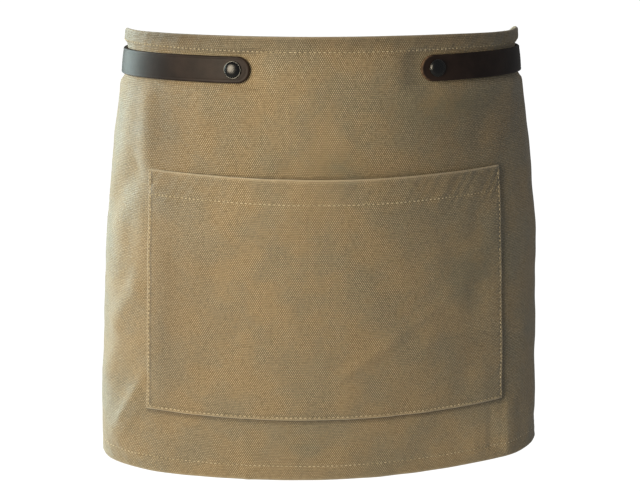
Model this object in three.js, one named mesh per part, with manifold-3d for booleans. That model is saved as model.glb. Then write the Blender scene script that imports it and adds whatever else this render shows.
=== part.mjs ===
// Waist apron: a hemmed panel of waxed canvas with one wide patch pocket, worn on a leather
// strap whose two halves are riveted to the front and meet at a stud behind the wearer.
// Millimetres, +Z up, the front faces -Y. The origin is the middle of the waist hollow, at the
// height of the strap's centre line. The cloth keeps the form that it has when it is worn.
import * as THREE from 'three';
import { mergeVertices } from 'three/addons/utils/BufferGeometryUtils.js';
import Module from 'manifold-3d';

// Body that the cloth lies on
const WAIST_WIDTH = 306;
const FRONT_DEPTH = 108;
const BACK_DEPTH = 92;

// Canvas panel, flat sizes after hemming
const CLOTH_WIDTH = 458;
const CLOTH_RISE = 24.2;
const CLOTH_DROP = 312;
const CLOTH_WALL = 1.2;
const HEM_WALL = 2.4;
const TOP_HEM = 12.4;
const BOTTOM_HEM = 13.4;
const SIDE_HEM = 10;
const CORNER_DROOP = 9;
const DROOP_REACH = 36;
const SAG_RISE = 40;

// Patch pocket, flat sizes after hemming. Its width and its offset from the panel's middle are
// those of its foot, and the taper at each side and the lean those of its mouth.
const POCKET_WIDTH = 289;
const POCKET_OFFSET = -3.5;
const POCKET_TAPER = 5;
const POCKET_LEAN = -2.5;
const POCKET_HEIGHT = 187;
const POCKET_BELOW_STRAP = 74;
const POCKET_GAPE = 8;
const POCKET_TOP_HEM = 20;
const POCKET_SEAM_FOLD = 9;

// Leather strap
const STRAP_WIDTH = 19;
const STRAP_THICKNESS = 3;
const RIVET_SPACING = 152;
const TIP_LENGTH = 12.5;
const STRAP_OVERLAP = 70;
const OVERLAP_RAMP = 45;
const STRAP_BACK_DIP = 6;
const STRAP_PINCH = 2.8;
const STRAP_DIG = 1.5;
const DIG_REACH = 22;
const PINCH_FADE = 6;
const TIP_FADE = 24;

// Rivets and back stud
const CAP_DIAMETER = 12.7;
const CAP_HEIGHT = 2.6;
const RIVET_POST_DIAMETER = 4;
const WASHER_DIAMETER = 10;
const WASHER_HEIGHT = 1.3;
const STUD_HEAD_DIAMETER = 12;
const STUD_HEAD_HEIGHT = 2.2;
const STUD_POST_DIAMETER = 4.5;

// Folds and fits
const FOLD_HEIGHT = 2.4;
const FOLD_WIDTH = 9;
const CLEARANCE = 0.3;

// Mesh fineness
const COLUMN_STEP = 10;
const ROW_STEP = 20;
const HEM_STEP = 1;
const STATION_GAP = 0.3;
const ARC_DIVISIONS = 600;
const ROUND_SEGMENTS = 20;
const TIP_STEPS = 5;
const TIP_BLUNTNESS = 0.02;
const DRILL_REACH = 12;

// Powers that square or round the level section, and how much its front centre is eased
const FRONT_WIDTH_POWER = 1.38;
const FRONT_DEPTH_POWER = 2.09;
const FRONT_EASING = 0.15;
const BACK_WIDTH_POWER = 2.6;
const BACK_DEPTH_POWER = 2;

// Level sections of the body from the hem up. level: 1 is the cloth's top edge, 0 the strap and
// -1 the hem. width and depth: shares of WAIST_WIDTH and FRONT_DEPTH.
const SECTIONS = [
  { level: -1, width: 1.158, depth: 0.827 },
  { level: -0.48, width: 1.117, depth: 0.997 },
  { level: -0.2, width: 1.058, depth: 1.055 },
  { level: 0, width: 1, depth: 0.995 },
  { level: 1, width: 0.983, depth: 1.012 },
];

// Creases beside the pocket, each along a line from one arc and level to another. arc and toArc:
// shares of half of CLOTH_WIDTH from the front centre, + to +X. width and lift: shares of
// FOLD_WIDTH and FOLD_HEIGHT.
const FOLDS = [
  { name: 'left turn', arc: -0.65, level: -0.08, toArc: -0.66, toLevel: -0.22, width: 1.1, lift: 0.8 },
  { name: 'left valley', arc: -0.71, level: -0.25, toArc: -0.87, toLevel: -0.36, width: 1.2, lift: -0.9 },
  { name: 'upper pucker', arc: -0.71, level: -0.54, toArc: -0.8, toLevel: -0.64, width: 1, lift: 0.8 },
  { name: 'lower pucker', arc: -0.7, level: -0.82, toArc: -0.79, toLevel: -0.92, width: 1, lift: 1 },
  { name: 'left flare', arc: -0.9, level: -0.83, toArc: -0.9, toLevel: -0.93, width: 3.4, lift: 0.85 },
  { name: 'right turn', arc: 0.67, level: -0.86, toArc: 0.67, toLevel: -0.97, width: 1, lift: 0.7 },
  { name: 'right slack', arc: 0.88, level: -0.6, toArc: 0.88, toLevel: -0.92, width: 4, lift: -0.5 },
];

// Places where the top edge or the hem hangs lower. arc and reach: shares of half of CLOTH_WIDTH.
// drop: millimetres.
const SAGS = [
  { name: 'left hem', atTop: false, arc: -0.7, reach: 0.3, drop: 2.2 },
  { name: 'right hem', atTop: false, arc: 0.72, reach: 0.17, drop: 1.8 },
  { name: 'right top edge', atTop: true, arc: 0.66, reach: 0.26, drop: 1.4 },
];

// Rivet cap above its seat, a rim round a shallow crown, and the stud's flat head. radius and
// height: shares of the cap's or the head's own.
const CAP_PROFILE = [
  { radius: 1, height: 0 },
  { radius: 1, height: 0.45 },
  { radius: 0.9, height: 0.75 },
  { radius: 0.78, height: 0.7 },
  { radius: 0.72, height: 0.55 },
  { radius: 0.4, height: 0.88 },
  { radius: 0, height: 1 },
];
const STUD_PROFILE = [
  { radius: 1, height: 0 },
  { radius: 1, height: 0.6 },
  { radius: 0.8, height: 1 },
  { radius: 0, height: 1 },
];

const { smoothstep, lerp, clamp } = THREE.MathUtils;

// Outward places of the faces that lie on each other, counted from the cloth's outer face
const STRAP_INNER = CLEARANCE;
const STRAP_OUTER = STRAP_INNER + STRAP_THICKNESS;
const OVERLAP_LIFT = STRAP_THICKNESS + CLEARANCE;
const POCKET_OUTER = CLEARANCE + HEM_WALL;

const halfCloth = CLOTH_WIDTH / 2;
const halfPocket = POCKET_WIDTH / 2;
const pocketTop = -POCKET_BELOW_STRAP;
const pocketFoot = pocketTop - POCKET_HEIGHT;
const pocketLeft = POCKET_OFFSET - halfPocket;
const pocketRight = POCKET_OFFSET + halfPocket;
const pressedEdge = STRAP_WIDTH / 2 + HEM_STEP;
const pinchEdge = pressedEdge + PINCH_FADE;
const rivetArc = RIVET_SPACING / 2;
const tipArc = rivetArc - TIP_LENGTH;
const tipRadius = STRAP_WIDTH / 2;

/** Height of a level: 1 is the cloth's top edge, 0 the strap and -1 the hem. */
function heightOfLevel(level) {
  return level > 0 ? level * CLOTH_RISE : level * CLOTH_DROP;
}

/** A column of SECTIONS at height z, on a cubic curve through its rows. */
function sectionShare(key, z) {
  const heights = SECTIONS.map((row) => heightOfLevel(row.level));
  const shares = SECTIONS.map((row) => row[key]);
  const curve = new THREE.CubicInterpolant(heights, shares, 1);
  return curve.evaluate(clamp(z, heights[0], heights[heights.length - 1]))[0];
}

/** Half of a level section of the body, from the front centre round the +X side to the back. */
class BodySection extends THREE.Curve {
  constructor(z) {
    super();
    this.halfWidth = (WAIST_WIDTH / 2) * sectionShare('width', z);
    this.frontDepth = FRONT_DEPTH * sectionShare('depth', z);
    this.arcLengthDivisions = ARC_DIVISIONS;
  }

  getPoint(turn, target = new THREE.Vector2()) {
    const across = Math.sin(Math.PI * turn);
    if (turn > 0.5) {
      const back = Math.max(0, 1 - across ** BACK_WIDTH_POWER) ** (1 / BACK_DEPTH_POWER);
      return target.set(this.halfWidth * across, BACK_DEPTH * back);
    }
    const ease = (u) => Math.hypot(u, FRONT_EASING) - FRONT_EASING;
    const eased = ease(across) / ease(1);
    const front = Math.max(0, 1 - eased ** FRONT_WIDTH_POWER) ** (1 / FRONT_DEPTH_POWER);
    return target.set(this.halfWidth * across, -this.frontDepth * front);
  }
}

const sections = new Map();

/** The section at height z, made once. */
function sectionAt(z) {
  if (!sections.has(z)) {
    sections.set(z, new BodySection(z));
  }
  return sections.get(z);
}

/** Point and outward normal of the body at an arc length from the front centre, + to +X. */
function bodyFrame(arc, z) {
  const section = sectionAt(z);
  const half = section.getLength();
  const pastBack = Math.abs(arc) > half;
  const along = pastBack ? 2 * half - Math.abs(arc) : Math.abs(arc);
  const side = (arc < 0 ? -1 : 1) * (pastBack ? -1 : 1);
  const point = section.getPointAt(along / half);
  const tangent = section.getTangentAt(along / half);
  return {
    point: new THREE.Vector3(side * point.x, point.y, z),
    normal: new THREE.Vector3(side * tangent.y, -tangent.x, 0),
  };
}

/** How far the strap presses the cloth in: most behind its tips, and not between them. */
function pinch(arc, z) {
  const pastTip = Math.abs(arc) - tipArc;
  const depth = STRAP_PINCH + STRAP_DIG * (1 - smoothstep(pastTip, 0, DIG_REACH));
  const across = 1 - smoothstep(Math.abs(z), pressedEdge, pinchEdge);
  return depth * across * smoothstep(pastTip, -TIP_FADE, 0);
}

/** Height of the creases above the smooth cloth. The strap presses them flat. */
function foldLift(arc, z) {
  const place = new THREE.Vector3(arc, z, 0);
  let lift = 0;
  for (const fold of FOLDS) {
    const from = new THREE.Vector3(fold.arc * halfCloth, fold.level * CLOTH_DROP, 0);
    const to = new THREE.Vector3(fold.toArc * halfCloth, fold.toLevel * CLOTH_DROP, 0);
    const nearest = new THREE.Line3(from, to).closestPointToPoint(place, true, new THREE.Vector3());
    const distance = nearest.distanceTo(place) / (fold.width * FOLD_WIDTH);
    lift += fold.lift * FOLD_HEIGHT * Math.exp(-distance * distance);
  }
  return lift * smoothstep(Math.abs(z), pressedEdge, pinchEdge);
}

/** How far the top edge hangs at its corners, and both edges at the named places. */
function edgeDroop(arc, z) {
  const high = smoothstep(z, pressedEdge, CLOTH_RISE);
  const low = 1 - smoothstep(z, -CLOTH_DROP, -CLOTH_DROP + SAG_RISE);
  let droop = CORNER_DROOP * high * smoothstep(Math.abs(arc), halfCloth - DROOP_REACH, halfCloth);
  for (const sag of SAGS) {
    const away = (arc / halfCloth - sag.arc) / sag.reach;
    droop += sag.drop * (sag.atTop ? high : low) * Math.exp(-away * away);
  }
  return droop;
}

/** A point at a distance outside the cloth's outer face. */
function clothPoint(arc, z, outward) {
  const { point, normal } = bodyFrame(arc, z);
  point.addScaledVector(normal, outward + foldLift(arc, z) - pinch(arc, z));
  point.z -= edgeDroop(arc, z);
  return point;
}

/**
 * Arc length of a column of the panel or the pocket. The columns follow the pocket's sides, which
 * draw in and lean towards its mouth, and they are straight at the strap and the side hems.
 */
function columnArc(column, z) {
  const up = clamp((z - pocketFoot) / POCKET_HEIGHT, 0, 1);
  const belowStrap = clamp((z + pinchEdge) / (pocketTop + pinchEdge), 0, 1);
  const fromLeft = (halfCloth + column) / (halfCloth + pocketLeft);
  const fromRight = (halfCloth - column) / (halfCloth - pocketRight);
  const reach = Math.min(1, fromLeft, fromRight);
  const across = clamp((column - POCKET_OFFSET) / halfPocket, -1, 1);
  return column + (POCKET_LEAN - POCKET_TAPER * across) * up * belowStrap * reach;
}

/** Stations between two ends: multiples of step, the ends and the named stops. */
function stations(from, to, step, stops = []) {
  const fixed = [from, to, ...stops.filter((stop) => stop > from && stop < to)];
  const list = [...fixed];
  for (let k = Math.ceil(from / step); k * step < to; k += 1) {
    if (fixed.every((stop) => Math.abs(stop - k * step) > STATION_GAP * step)) {
      list.push(k * step);
    }
  }
  return [...new Set(list)].sort((a, b) => a - b);
}

/** A closed sheet between two faces, given as functions of column and row (from below). */
function sheetGeometry(columns, rows, outer, inner) {
  const wide = columns.length;
  const tall = rows.length;
  const positions = [];
  for (const face of [outer, inner]) {
    for (const row of rows) {
      for (const column of columns) {
        positions.push(...face(column, row).toArray());
      }
    }
  }
  const at = (i, j) => j * wide + i;
  const behind = wide * tall;
  const index = [];
  for (let j = 0; j + 1 < tall; j += 1) {
    for (let i = 0; i + 1 < wide; i += 1) {
      const [a, b, c, d] = [at(i, j), at(i + 1, j), at(i + 1, j + 1), at(i, j + 1)];
      index.push(a, b, c, a, c, d);
      index.push(behind + a, behind + c, behind + b, behind + a, behind + d, behind + c);
    }
  }
  const border = [];
  for (let i = 0; i + 1 < wide; i += 1) {
    border.push([at(i, 0), at(i + 1, 0)], [at(i + 1, tall - 1), at(i, tall - 1)]);
  }
  for (let j = 0; j + 1 < tall; j += 1) {
    border.push([at(wide - 1, j), at(wide - 1, j + 1)], [at(0, j + 1), at(0, j)]);
  }
  for (const [a, b] of border) {
    index.push(b, a, behind + a, b, behind + a, behind + b);
  }
  const geometry = new THREE.BufferGeometry();
  geometry.setAttribute('position', new THREE.Float32BufferAttribute(positions, 3));
  geometry.setIndex(index);
  return geometry;
}

const wasm = await Module();
wasm.setup();

/** The solid of a closed geometry, ready to be cut. */
function toSolid(geometry) {
  const bare = geometry.clone();
  bare.deleteAttribute('normal');
  bare.deleteAttribute('uv');
  const merged = mergeVertices(bare, 1e-4);
  return new wasm.Manifold(new wasm.Mesh({
    numProp: 3,
    vertProperties: new Float32Array(merged.attributes.position.array),
    triVerts: new Uint32Array(merged.index.array),
  }));
}

/** The geometry of a solid. */
function toGeometry(solid) {
  const mesh = solid.getMesh();
  const geometry = new THREE.BufferGeometry();
  geometry.setAttribute('position', new THREE.Float32BufferAttribute(mesh.vertProperties, 3));
  geometry.setIndex([...mesh.triVerts]);
  return geometry;
}

/** A place on the cloth's outer face, and the turn that takes +Y to the face's own normal. */
function outwardPlacement(arc, z) {
  const along = clothPoint(arc + 1, z, 0).sub(clothPoint(arc - 1, z, 0));
  const up = clothPoint(arc, z + 1, 0).sub(clothPoint(arc, z - 1, 0));
  const normal = along.cross(up).normalize();
  const turn = new THREE.Quaternion().setFromUnitVectors(new THREE.Vector3(0, 1, 0), normal);
  return { place: clothPoint(arc, z, 0), turn };
}

/** Cuts a round hole through a wall, square to the cloth. */
function withHole(geometry, arc, z, diameter) {
  const { place, turn } = outwardPlacement(arc, z);
  const drill = new THREE.CylinderGeometry(diameter / 2, diameter / 2, 2 * DRILL_REACH, ROUND_SEGMENTS);
  drill.applyQuaternion(turn);
  drill.translate(place.x, place.y, place.z);
  return toGeometry(toSolid(geometry).subtract(toSolid(drill)));
}

/** Wall of a hemmed cloth: HEM_WALL up to the fold's width from an edge, then CLOTH_WALL. */
function hemmedWall(pastFold) {
  return lerp(HEM_WALL, CLOTH_WALL, clamp(pastFold / HEM_STEP, 0, 1));
}

/** Both ends of a hem's step, counted inward from an edge. */
function hemStops(edge, hem, inward) {
  return [edge + inward * hem, edge + inward * (hem + HEM_STEP)];
}

// Stops that the panel and the pocket share, so that their walls stay parallel
const columnStops = [
  ...hemStops(-halfCloth, SIDE_HEM, 1),
  ...hemStops(halfCloth, SIDE_HEM, -1),
  ...[pocketLeft, pocketRight],
  ...hemStops(pocketLeft, POCKET_SEAM_FOLD, 1),
  ...hemStops(pocketRight, POCKET_SEAM_FOLD, -1),
  ...[tipArc, tipArc + tipRadius / 2, tipArc + tipRadius],
  ...[-tipArc, -tipArc - tipRadius / 2, -tipArc - tipRadius],
];
const rowStops = [
  ...hemStops(-CLOTH_DROP, BOTTOM_HEM, 1),
  ...hemStops(CLOTH_RISE, TOP_HEM, -1),
  ...[-pinchEdge, (-pinchEdge - pressedEdge) / 2, -pressedEdge],
  ...[pressedEdge, (pinchEdge + pressedEdge) / 2, pinchEdge],
  ...[pocketFoot, pocketTop],
  ...hemStops(pocketFoot, POCKET_SEAM_FOLD, 1),
  ...hemStops(pocketTop, POCKET_TOP_HEM, -1),
];

/** The apron's panel, hemmed on all sides and cut for the rivets' posts. */
function panelGeometry() {
  const wall = (column, z) => hemmedWall(Math.min(
    halfCloth - Math.abs(column) - SIDE_HEM,
    CLOTH_RISE - z - TOP_HEM,
    z + CLOTH_DROP - BOTTOM_HEM,
  ));
  const outer = (column, z) => clothPoint(columnArc(column, z), z, 0);
  const inner = (column, z) => clothPoint(columnArc(column, z), z, -wall(column, z));
  const columns = stations(-halfCloth, halfCloth, COLUMN_STEP, columnStops);
  const rows = stations(-CLOTH_DROP, CLOTH_RISE, ROW_STEP, rowStops);
  let panel = sheetGeometry(columns, rows, outer, inner);
  for (const side of [-1, 1]) {
    panel = withHole(panel, side * rivetArc, 0, RIVET_POST_DIAMETER + 2 * CLEARANCE);
  }
  return panel;
}

/** How far the pocket stands off the panel: nothing at its seams, most at the mouth's middle. */
function pocketGape(column, z) {
  const across = (1 - ((column - POCKET_OFFSET) / halfPocket) ** 2) ** 2;
  const up = (z - pocketFoot) / POCKET_HEIGHT;
  return POCKET_GAPE * across * smoothstep(up, 0, 1) * up;
}

/** The patch pocket, with its mouth hem and its seams folded in. */
function pocketGeometry() {
  const wall = (column, z) => hemmedWall(Math.min(
    halfPocket - Math.abs(column - POCKET_OFFSET) - POCKET_SEAM_FOLD,
    z - pocketFoot - POCKET_SEAM_FOLD,
    pocketTop - z - POCKET_TOP_HEM,
  ));
  const face = (share) => (column, z) => {
    const outward = POCKET_OUTER + pocketGape(column, z) - share * wall(column, z);
    return clothPoint(columnArc(column, z), z, outward);
  };
  const columns = stations(pocketLeft, pocketRight, COLUMN_STEP, columnStops);
  const rows = stations(pocketFoot, pocketTop, ROW_STEP, rowStops);
  return sheetGeometry(columns, rows, face(0), face(1));
}

const backArc = sectionAt(0).getLength();

/** Height of the strap's centre line: level on the cloth, a little lower behind. */
function strapHeight(arc) {
  const fromFront = Math.min(Math.abs(arc), 2 * backArc - Math.abs(arc));
  return -STRAP_BACK_DIP * smoothstep(fromFront, halfCloth, backArc);
}

/** One half of the strap, from its round tip at the front to its end past the back centre. */
function strapGeometry(side, overlapLift) {
  const stops = [];
  for (let k = 1; k <= TIP_STEPS; k += 1) {
    stops.push(tipArc + tipRadius * (1 - Math.cos((k / TIP_STEPS) * (Math.PI / 2))));
  }
  const arcs = stations(tipArc, backArc + STRAP_OVERLAP / 2, COLUMN_STEP, stops);
  const halfWidthAt = (arc) => {
    const fromTip = clamp(arc - tipArc, TIP_BLUNTNESS * tipRadius, tipRadius);
    return Math.sqrt(tipRadius ** 2 - (tipRadius - fromTip) ** 2);
  };
  const overlapStart = backArc - STRAP_OVERLAP / 2;
  const rampStart = overlapStart - OVERLAP_RAMP;
  const liftAt = (arc) => overlapLift * smoothstep(arc, rampStart, overlapStart - STRAP_THICKNESS);
  const face = (outward) => (arc, row) => {
    const z = strapHeight(arc) + row * halfWidthAt(arc);
    const { point, normal } = bodyFrame(side * arc, z);
    return point.addScaledVector(normal, outward - pinch(arc, 0) + liftAt(arc));
  };
  const rows = side > 0 ? [-1, 0, 1] : [1, 0, -1];
  const geometry = sheetGeometry(arcs, rows, face(STRAP_OUTER), face(STRAP_INNER));
  const riveted = withHole(geometry, side * rivetArc, 0, RIVET_POST_DIAMETER + 2 * CLEARANCE);
  return withHole(riveted, backArc, -STRAP_BACK_DIP, STUD_POST_DIAMETER + 2 * CLEARANCE);
}

/** A turned fastener along +Y: a washer inside, a post and a head of a given profile outside. */
function fastenerGeometry({ washer, back, post, seat, head, headHeight, profile }) {
  const outline = [
    new THREE.Vector2(0, back - WASHER_HEIGHT),
    new THREE.Vector2(washer / 2, back - WASHER_HEIGHT),
    new THREE.Vector2(washer / 2, back),
    new THREE.Vector2(post / 2, back),
    new THREE.Vector2(post / 2, seat),
  ];
  for (const row of profile) {
    outline.push(new THREE.Vector2(row.radius * head / 2, seat + row.height * headHeight));
  }
  return new THREE.LatheGeometry(outline, ROUND_SEGMENTS);
}

/** Rivet through the strap and the panel. */
function rivetGeometry() {
  return fastenerGeometry({
    washer: WASHER_DIAMETER,
    back: -CLOTH_WALL - CLEARANCE,
    post: RIVET_POST_DIAMETER,
    seat: STRAP_OUTER + CLEARANCE,
    head: CAP_DIAMETER,
    headHeight: CAP_HEIGHT,
    profile: CAP_PROFILE,
  });
}

/** Stud through the strap's two ends behind the wearer. */
function studGeometry() {
  return fastenerGeometry({
    washer: STUD_HEAD_DIAMETER,
    back: STRAP_INNER - CLEARANCE,
    post: STUD_POST_DIAMETER,
    seat: STRAP_OUTER + OVERLAP_LIFT + CLEARANCE,
    head: STUD_HEAD_DIAMETER,
    headHeight: STUD_HEAD_HEIGHT,
    profile: STUD_PROFILE,
  });
}

const canvas = { color: 0x96805a, roughness: 0.85, metalness: 0 };
const leather = { color: 0x34251f, roughness: 0.45, metalness: 0 };
const gunmetal = { color: 0x5b5652, roughness: 0.3, metalness: 1 };

/** Adds a named mesh with its own material to the apron. */
function addPiece(group, name, geometry, finish, arc = null, z = 0) {
  const mesh = new THREE.Mesh(geometry, new THREE.MeshStandardMaterial(finish));
  mesh.name = name;
  if (arc !== null) {
    const { place, turn } = outwardPlacement(arc, z);
    mesh.position.copy(place);
    mesh.quaternion.copy(turn);
  }
  mesh.geometry.computeVertexNormals();
  group.add(mesh);
}

const apron = new THREE.Group();
addPiece(apron, 'apron_panel', panelGeometry(), canvas);
addPiece(apron, 'front_pocket', pocketGeometry(), canvas);
addPiece(apron, 'strap_left', strapGeometry(-1, OVERLAP_LIFT), leather);
addPiece(apron, 'strap_right', strapGeometry(1, 0), leather);
addPiece(apron, 'rivet_left', rivetGeometry(), gunmetal, -rivetArc);
addPiece(apron, 'rivet_right', rivetGeometry(), gunmetal, rivetArc);
addPiece(apron, 'back_stud', studGeometry(), gunmetal, backArc, -STRAP_BACK_DIP);

export default apron;
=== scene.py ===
"""Waist apron of waxed canvas: hemmed panel, wide patch pocket, riveted leather strap and back stud.

Metres, +Z up when worn, the pocket faces -Y. A place on the cloth is an arc length from the front
centre, + towards +X, and a height z. The strap's centre line lies at z = 0.
"""

import logging
import math
from dataclasses import dataclass
from enum import Enum

import bpy
import numpy as np
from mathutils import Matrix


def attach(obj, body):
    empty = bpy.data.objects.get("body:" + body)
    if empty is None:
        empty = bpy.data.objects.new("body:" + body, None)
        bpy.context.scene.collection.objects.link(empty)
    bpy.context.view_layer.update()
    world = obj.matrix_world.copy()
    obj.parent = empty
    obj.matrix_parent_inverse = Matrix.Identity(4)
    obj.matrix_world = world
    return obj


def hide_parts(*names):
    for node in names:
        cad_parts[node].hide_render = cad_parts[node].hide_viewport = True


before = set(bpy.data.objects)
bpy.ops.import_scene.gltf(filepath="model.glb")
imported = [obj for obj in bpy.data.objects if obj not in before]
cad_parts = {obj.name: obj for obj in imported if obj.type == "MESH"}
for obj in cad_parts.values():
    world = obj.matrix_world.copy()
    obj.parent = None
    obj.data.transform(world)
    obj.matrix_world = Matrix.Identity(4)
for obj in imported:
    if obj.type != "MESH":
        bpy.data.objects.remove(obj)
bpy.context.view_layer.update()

Array = np.ndarray
Colour = tuple[float, float, float]
MM = 0.001
CLEARANCE = 0.3 * MM

log = logging.getLogger("waist_apron")


def smoothstep(value: Array, low: float, high: float) -> Array:
    """Cubic ramp 3t^2 - 2t^3 from 0 at low to 1 at high.

    Args:
        value: Values to ramp.
        low: Value where the ramp starts.
        high: Value where it ends.

    Returns:
        The ramp, the same shape as value.
    """
    t = np.clip((value - low) / (high - low), 0, 1)
    return t * t * (3 - 2 * t)


def bell(distance: Array, width: float) -> Array:
    """Gaussian exp(-(distance / width)^2)."""
    return np.exp(-((distance / width) ** 2))


def stations(low: float, high: float, step: float, stops: Array) -> Array:
    """Even stations between two ends, with extra stops.

    Args:
        low: First station.
        high: Last station.
        step: Largest gap between even stations.
        stops: Extra stations, of which those outside the ends are dropped.

    Returns:
        Sorted stations, without the even ones closer than a quarter of step to an extra stop.
    """
    fixed = np.unique(np.concatenate([[low, high], stops[(stops > low) & (stops < high)]]))
    even = np.linspace(low, high, max(2, math.ceil((high - low) / step) + 1))
    gap = np.abs(even[:, None] - fixed[None, :]).min(axis=1)
    return np.sort(np.concatenate([fixed, even[gap > step / 4]]))


@dataclass
class BodyForm:
    """Level sections of the body that the cloth lies on.

    A section is x = half width * sin(pi * turn). In front, y = -depth * (1 - e^a)^(1 / b) with e
    the eased share of the half width. Behind, y = depth * (1 - u^c)^(1 / d). Width and depth
    follow cubic curves over the height.
    """

    waist_width: float = 306 * MM
    front_depth: float = 108 * MM
    back_depth: float = 92 * MM
    rise: float = 24.2 * MM
    drop: float = 312 * MM
    front_width_power: float = 1.38
    front_depth_power: float = 2.09
    front_easing: float = 0.15
    back_width_power: float = 2.6
    back_depth_power: float = 2.0
    levels: tuple[float, ...] = (-1, -0.48, -0.2, 0, 1)
    width_shares: tuple[float, ...] = (1.158, 1.117, 1.058, 1, 0.983)
    depth_shares: tuple[float, ...] = (0.827, 0.997, 1.055, 0.995, 1.012)
    table_rows: int = 220
    table_turns: int = 1400

    def __post_init__(self) -> None:
        """Tabulates, for heights and shares of the half length, the turn along each section."""
        self.heights = np.linspace(-self.drop, self.rise, self.table_rows)
        turn = np.linspace(0, 1, self.table_turns)
        points = self.outline(turn[None, :], self.heights[:, None])
        steps = np.linalg.norm(np.diff(points, axis=1), axis=2)
        along = np.concatenate([np.zeros((self.table_rows, 1)), np.cumsum(steps, axis=1)], axis=1)
        self.half_lengths = along[:, -1]
        apart = 2.0 * np.arange(self.table_rows)[:, None]
        keys = (along / self.half_lengths[:, None] + apart).ravel()
        wanted = (turn[None, :] + apart).ravel()
        every = np.broadcast_to(turn, along.shape).ravel()
        self.turns = np.interp(wanted, keys, every).reshape(along.shape)

    def share(self, shares: tuple[float, ...], z: Array) -> Array:
        """Cubic curve through the table's rows, with tangents from both neighbours.

        Args:
            shares: One value for each of levels.
            z: Heights.

        Returns:
            The value at each height.
        """
        level = np.array(self.levels)
        knots = np.where(level > 0, level * self.rise, level * self.drop)
        values = np.array(shares)
        z = np.clip(z, knots[0], knots[-1])
        k = np.clip(np.searchsorted(knots, z, side="right") - 1, 0, len(knots) - 2)
        first = k == 0
        last = k == len(knots) - 2
        before = np.where(first, k + 1, k - 1)
        after = np.where(last, k, np.minimum(k + 2, len(knots) - 1))
        gap = knots[k + 1] - knots[k]
        into = gap / 2 / (knots[k] - knots[before])
        out = gap / 2 / (knots[after] - knots[k + 1])
        p = (z - knots[k]) / gap
        weight_before = -into * p**3 + 2 * into * p**2 - into * p
        weight_low = (1 + into) * p**3 + (-1.5 - 2 * into) * p**2 + (-0.5 + into) * p + 1
        weight_high = (-1 - out) * p**3 + (1.5 + out) * p**2 + 0.5 * p
        weight_after = out * p**3 - out * p**2
        return (
            weight_before * values[before]
            + weight_low * values[k]
            + weight_high * values[k + 1]
            + weight_after * values[after]
        )

    def outline(self, turn: Array, z: Array) -> Array:
        """Points of the sections, from the front centre (turn 0) to the back centre (turn 1).

        Args:
            turn: Turns along the sections.
            z: Heights, which broadcast with turn.

        Returns:
            Array (..., 2) of x and y, for the +X half.
        """
        across = np.sin(np.pi * turn)
        half_width = self.waist_width / 2 * self.share(self.width_shares, z)
        depth = self.front_depth * self.share(self.depth_shares, z)
        whole = math.hypot(1, self.front_easing) - self.front_easing
        eased = (np.hypot(across, self.front_easing) - self.front_easing) / whole
        front = np.clip(1 - np.clip(eased, 0, 1) ** self.front_width_power, 0, 1)
        back = np.clip(1 - np.clip(across, 0, 1) ** self.back_width_power, 0, 1)
        y_front = -depth * front ** (1 / self.front_depth_power)
        y_back = self.back_depth * back ** (1 / self.back_depth_power) + 0 * depth
        x = half_width * across
        y = np.where(turn > 0.5, y_back, y_front)
        x, y = np.broadcast_arrays(x, y)
        return np.stack([x, y], axis=-1)

    def half_length(self, z: Array) -> Array:
        """Arc length from the front centre to the back centre at heights z."""
        return np.interp(z, self.heights, self.half_lengths)

    def place(self, arc: Array, z: Array) -> tuple[Array, Array]:
        """Points and outward normals of the body.

        Args:
            arc: Arc lengths from the front centre, + towards +X.
            z: Heights, the same shape as arc.

        Returns:
            Two arrays (..., 3), points and level unit normals.
        """
        half = self.half_length(z)
        past_back = np.abs(arc) > half
        along = np.where(past_back, 2 * half - np.abs(arc), np.abs(arc)) / half
        side = np.where(arc < 0, -1.0, 1.0) * np.where(past_back, -1.0, 1.0)
        row = np.clip((z + self.drop) / (self.rise + self.drop), 0, 1) * (self.table_rows - 1)
        column = np.clip(along, 0, 1) * (self.table_turns - 1)
        i = np.minimum(row.astype(int), self.table_rows - 2)
        j = np.minimum(column.astype(int), self.table_turns - 2)
        u = row - i
        v = column - j
        lower = self.turns[i, j] * (1 - v) + self.turns[i, j + 1] * v
        upper = self.turns[i + 1, j] * (1 - v) + self.turns[i + 1, j + 1] * v
        turn = lower * (1 - u) + upper * u
        point = self.outline(turn, z)
        step = 2e-4
        ahead = self.outline(np.minimum(turn + step, 1), z)
        behind = self.outline(np.maximum(turn - step, 0), z)
        tangent = ahead - behind
        tangent = tangent / np.linalg.norm(tangent, axis=-1, keepdims=True)
        points = np.stack([side * point[..., 0], point[..., 1], z], axis=-1)
        normals = np.stack([side * tangent[..., 1], -tangent[..., 0], 0 * z], axis=-1)
        return points, normals


@dataclass(frozen=True)
class Fold:
    """A crease, or a line of painted shadow, from one place on the cloth to another, in millimetres.

    The lift of a crease is its height. The lift of a line of painted shadow is the share of colour
    that it takes.
    """

    start: tuple[float, float]
    end: tuple[float, float]
    width: float
    lift: float

    def height(self, arc: Array, z: Array) -> Array:
        """Gaussian of the distance to the line: lift * exp(-(distance / width)^2)."""
        a = np.array(self.start) * MM
        run = np.array(self.end) * MM - a
        share = np.clip(((arc - a[0]) * run[0] + (z - a[1]) * run[1]) / (run @ run), 0, 1)
        distance = np.hypot(arc - a[0] - share * run[0], z - a[1] - share * run[1])
        return self.lift * MM * bell(distance, self.width * MM)


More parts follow.
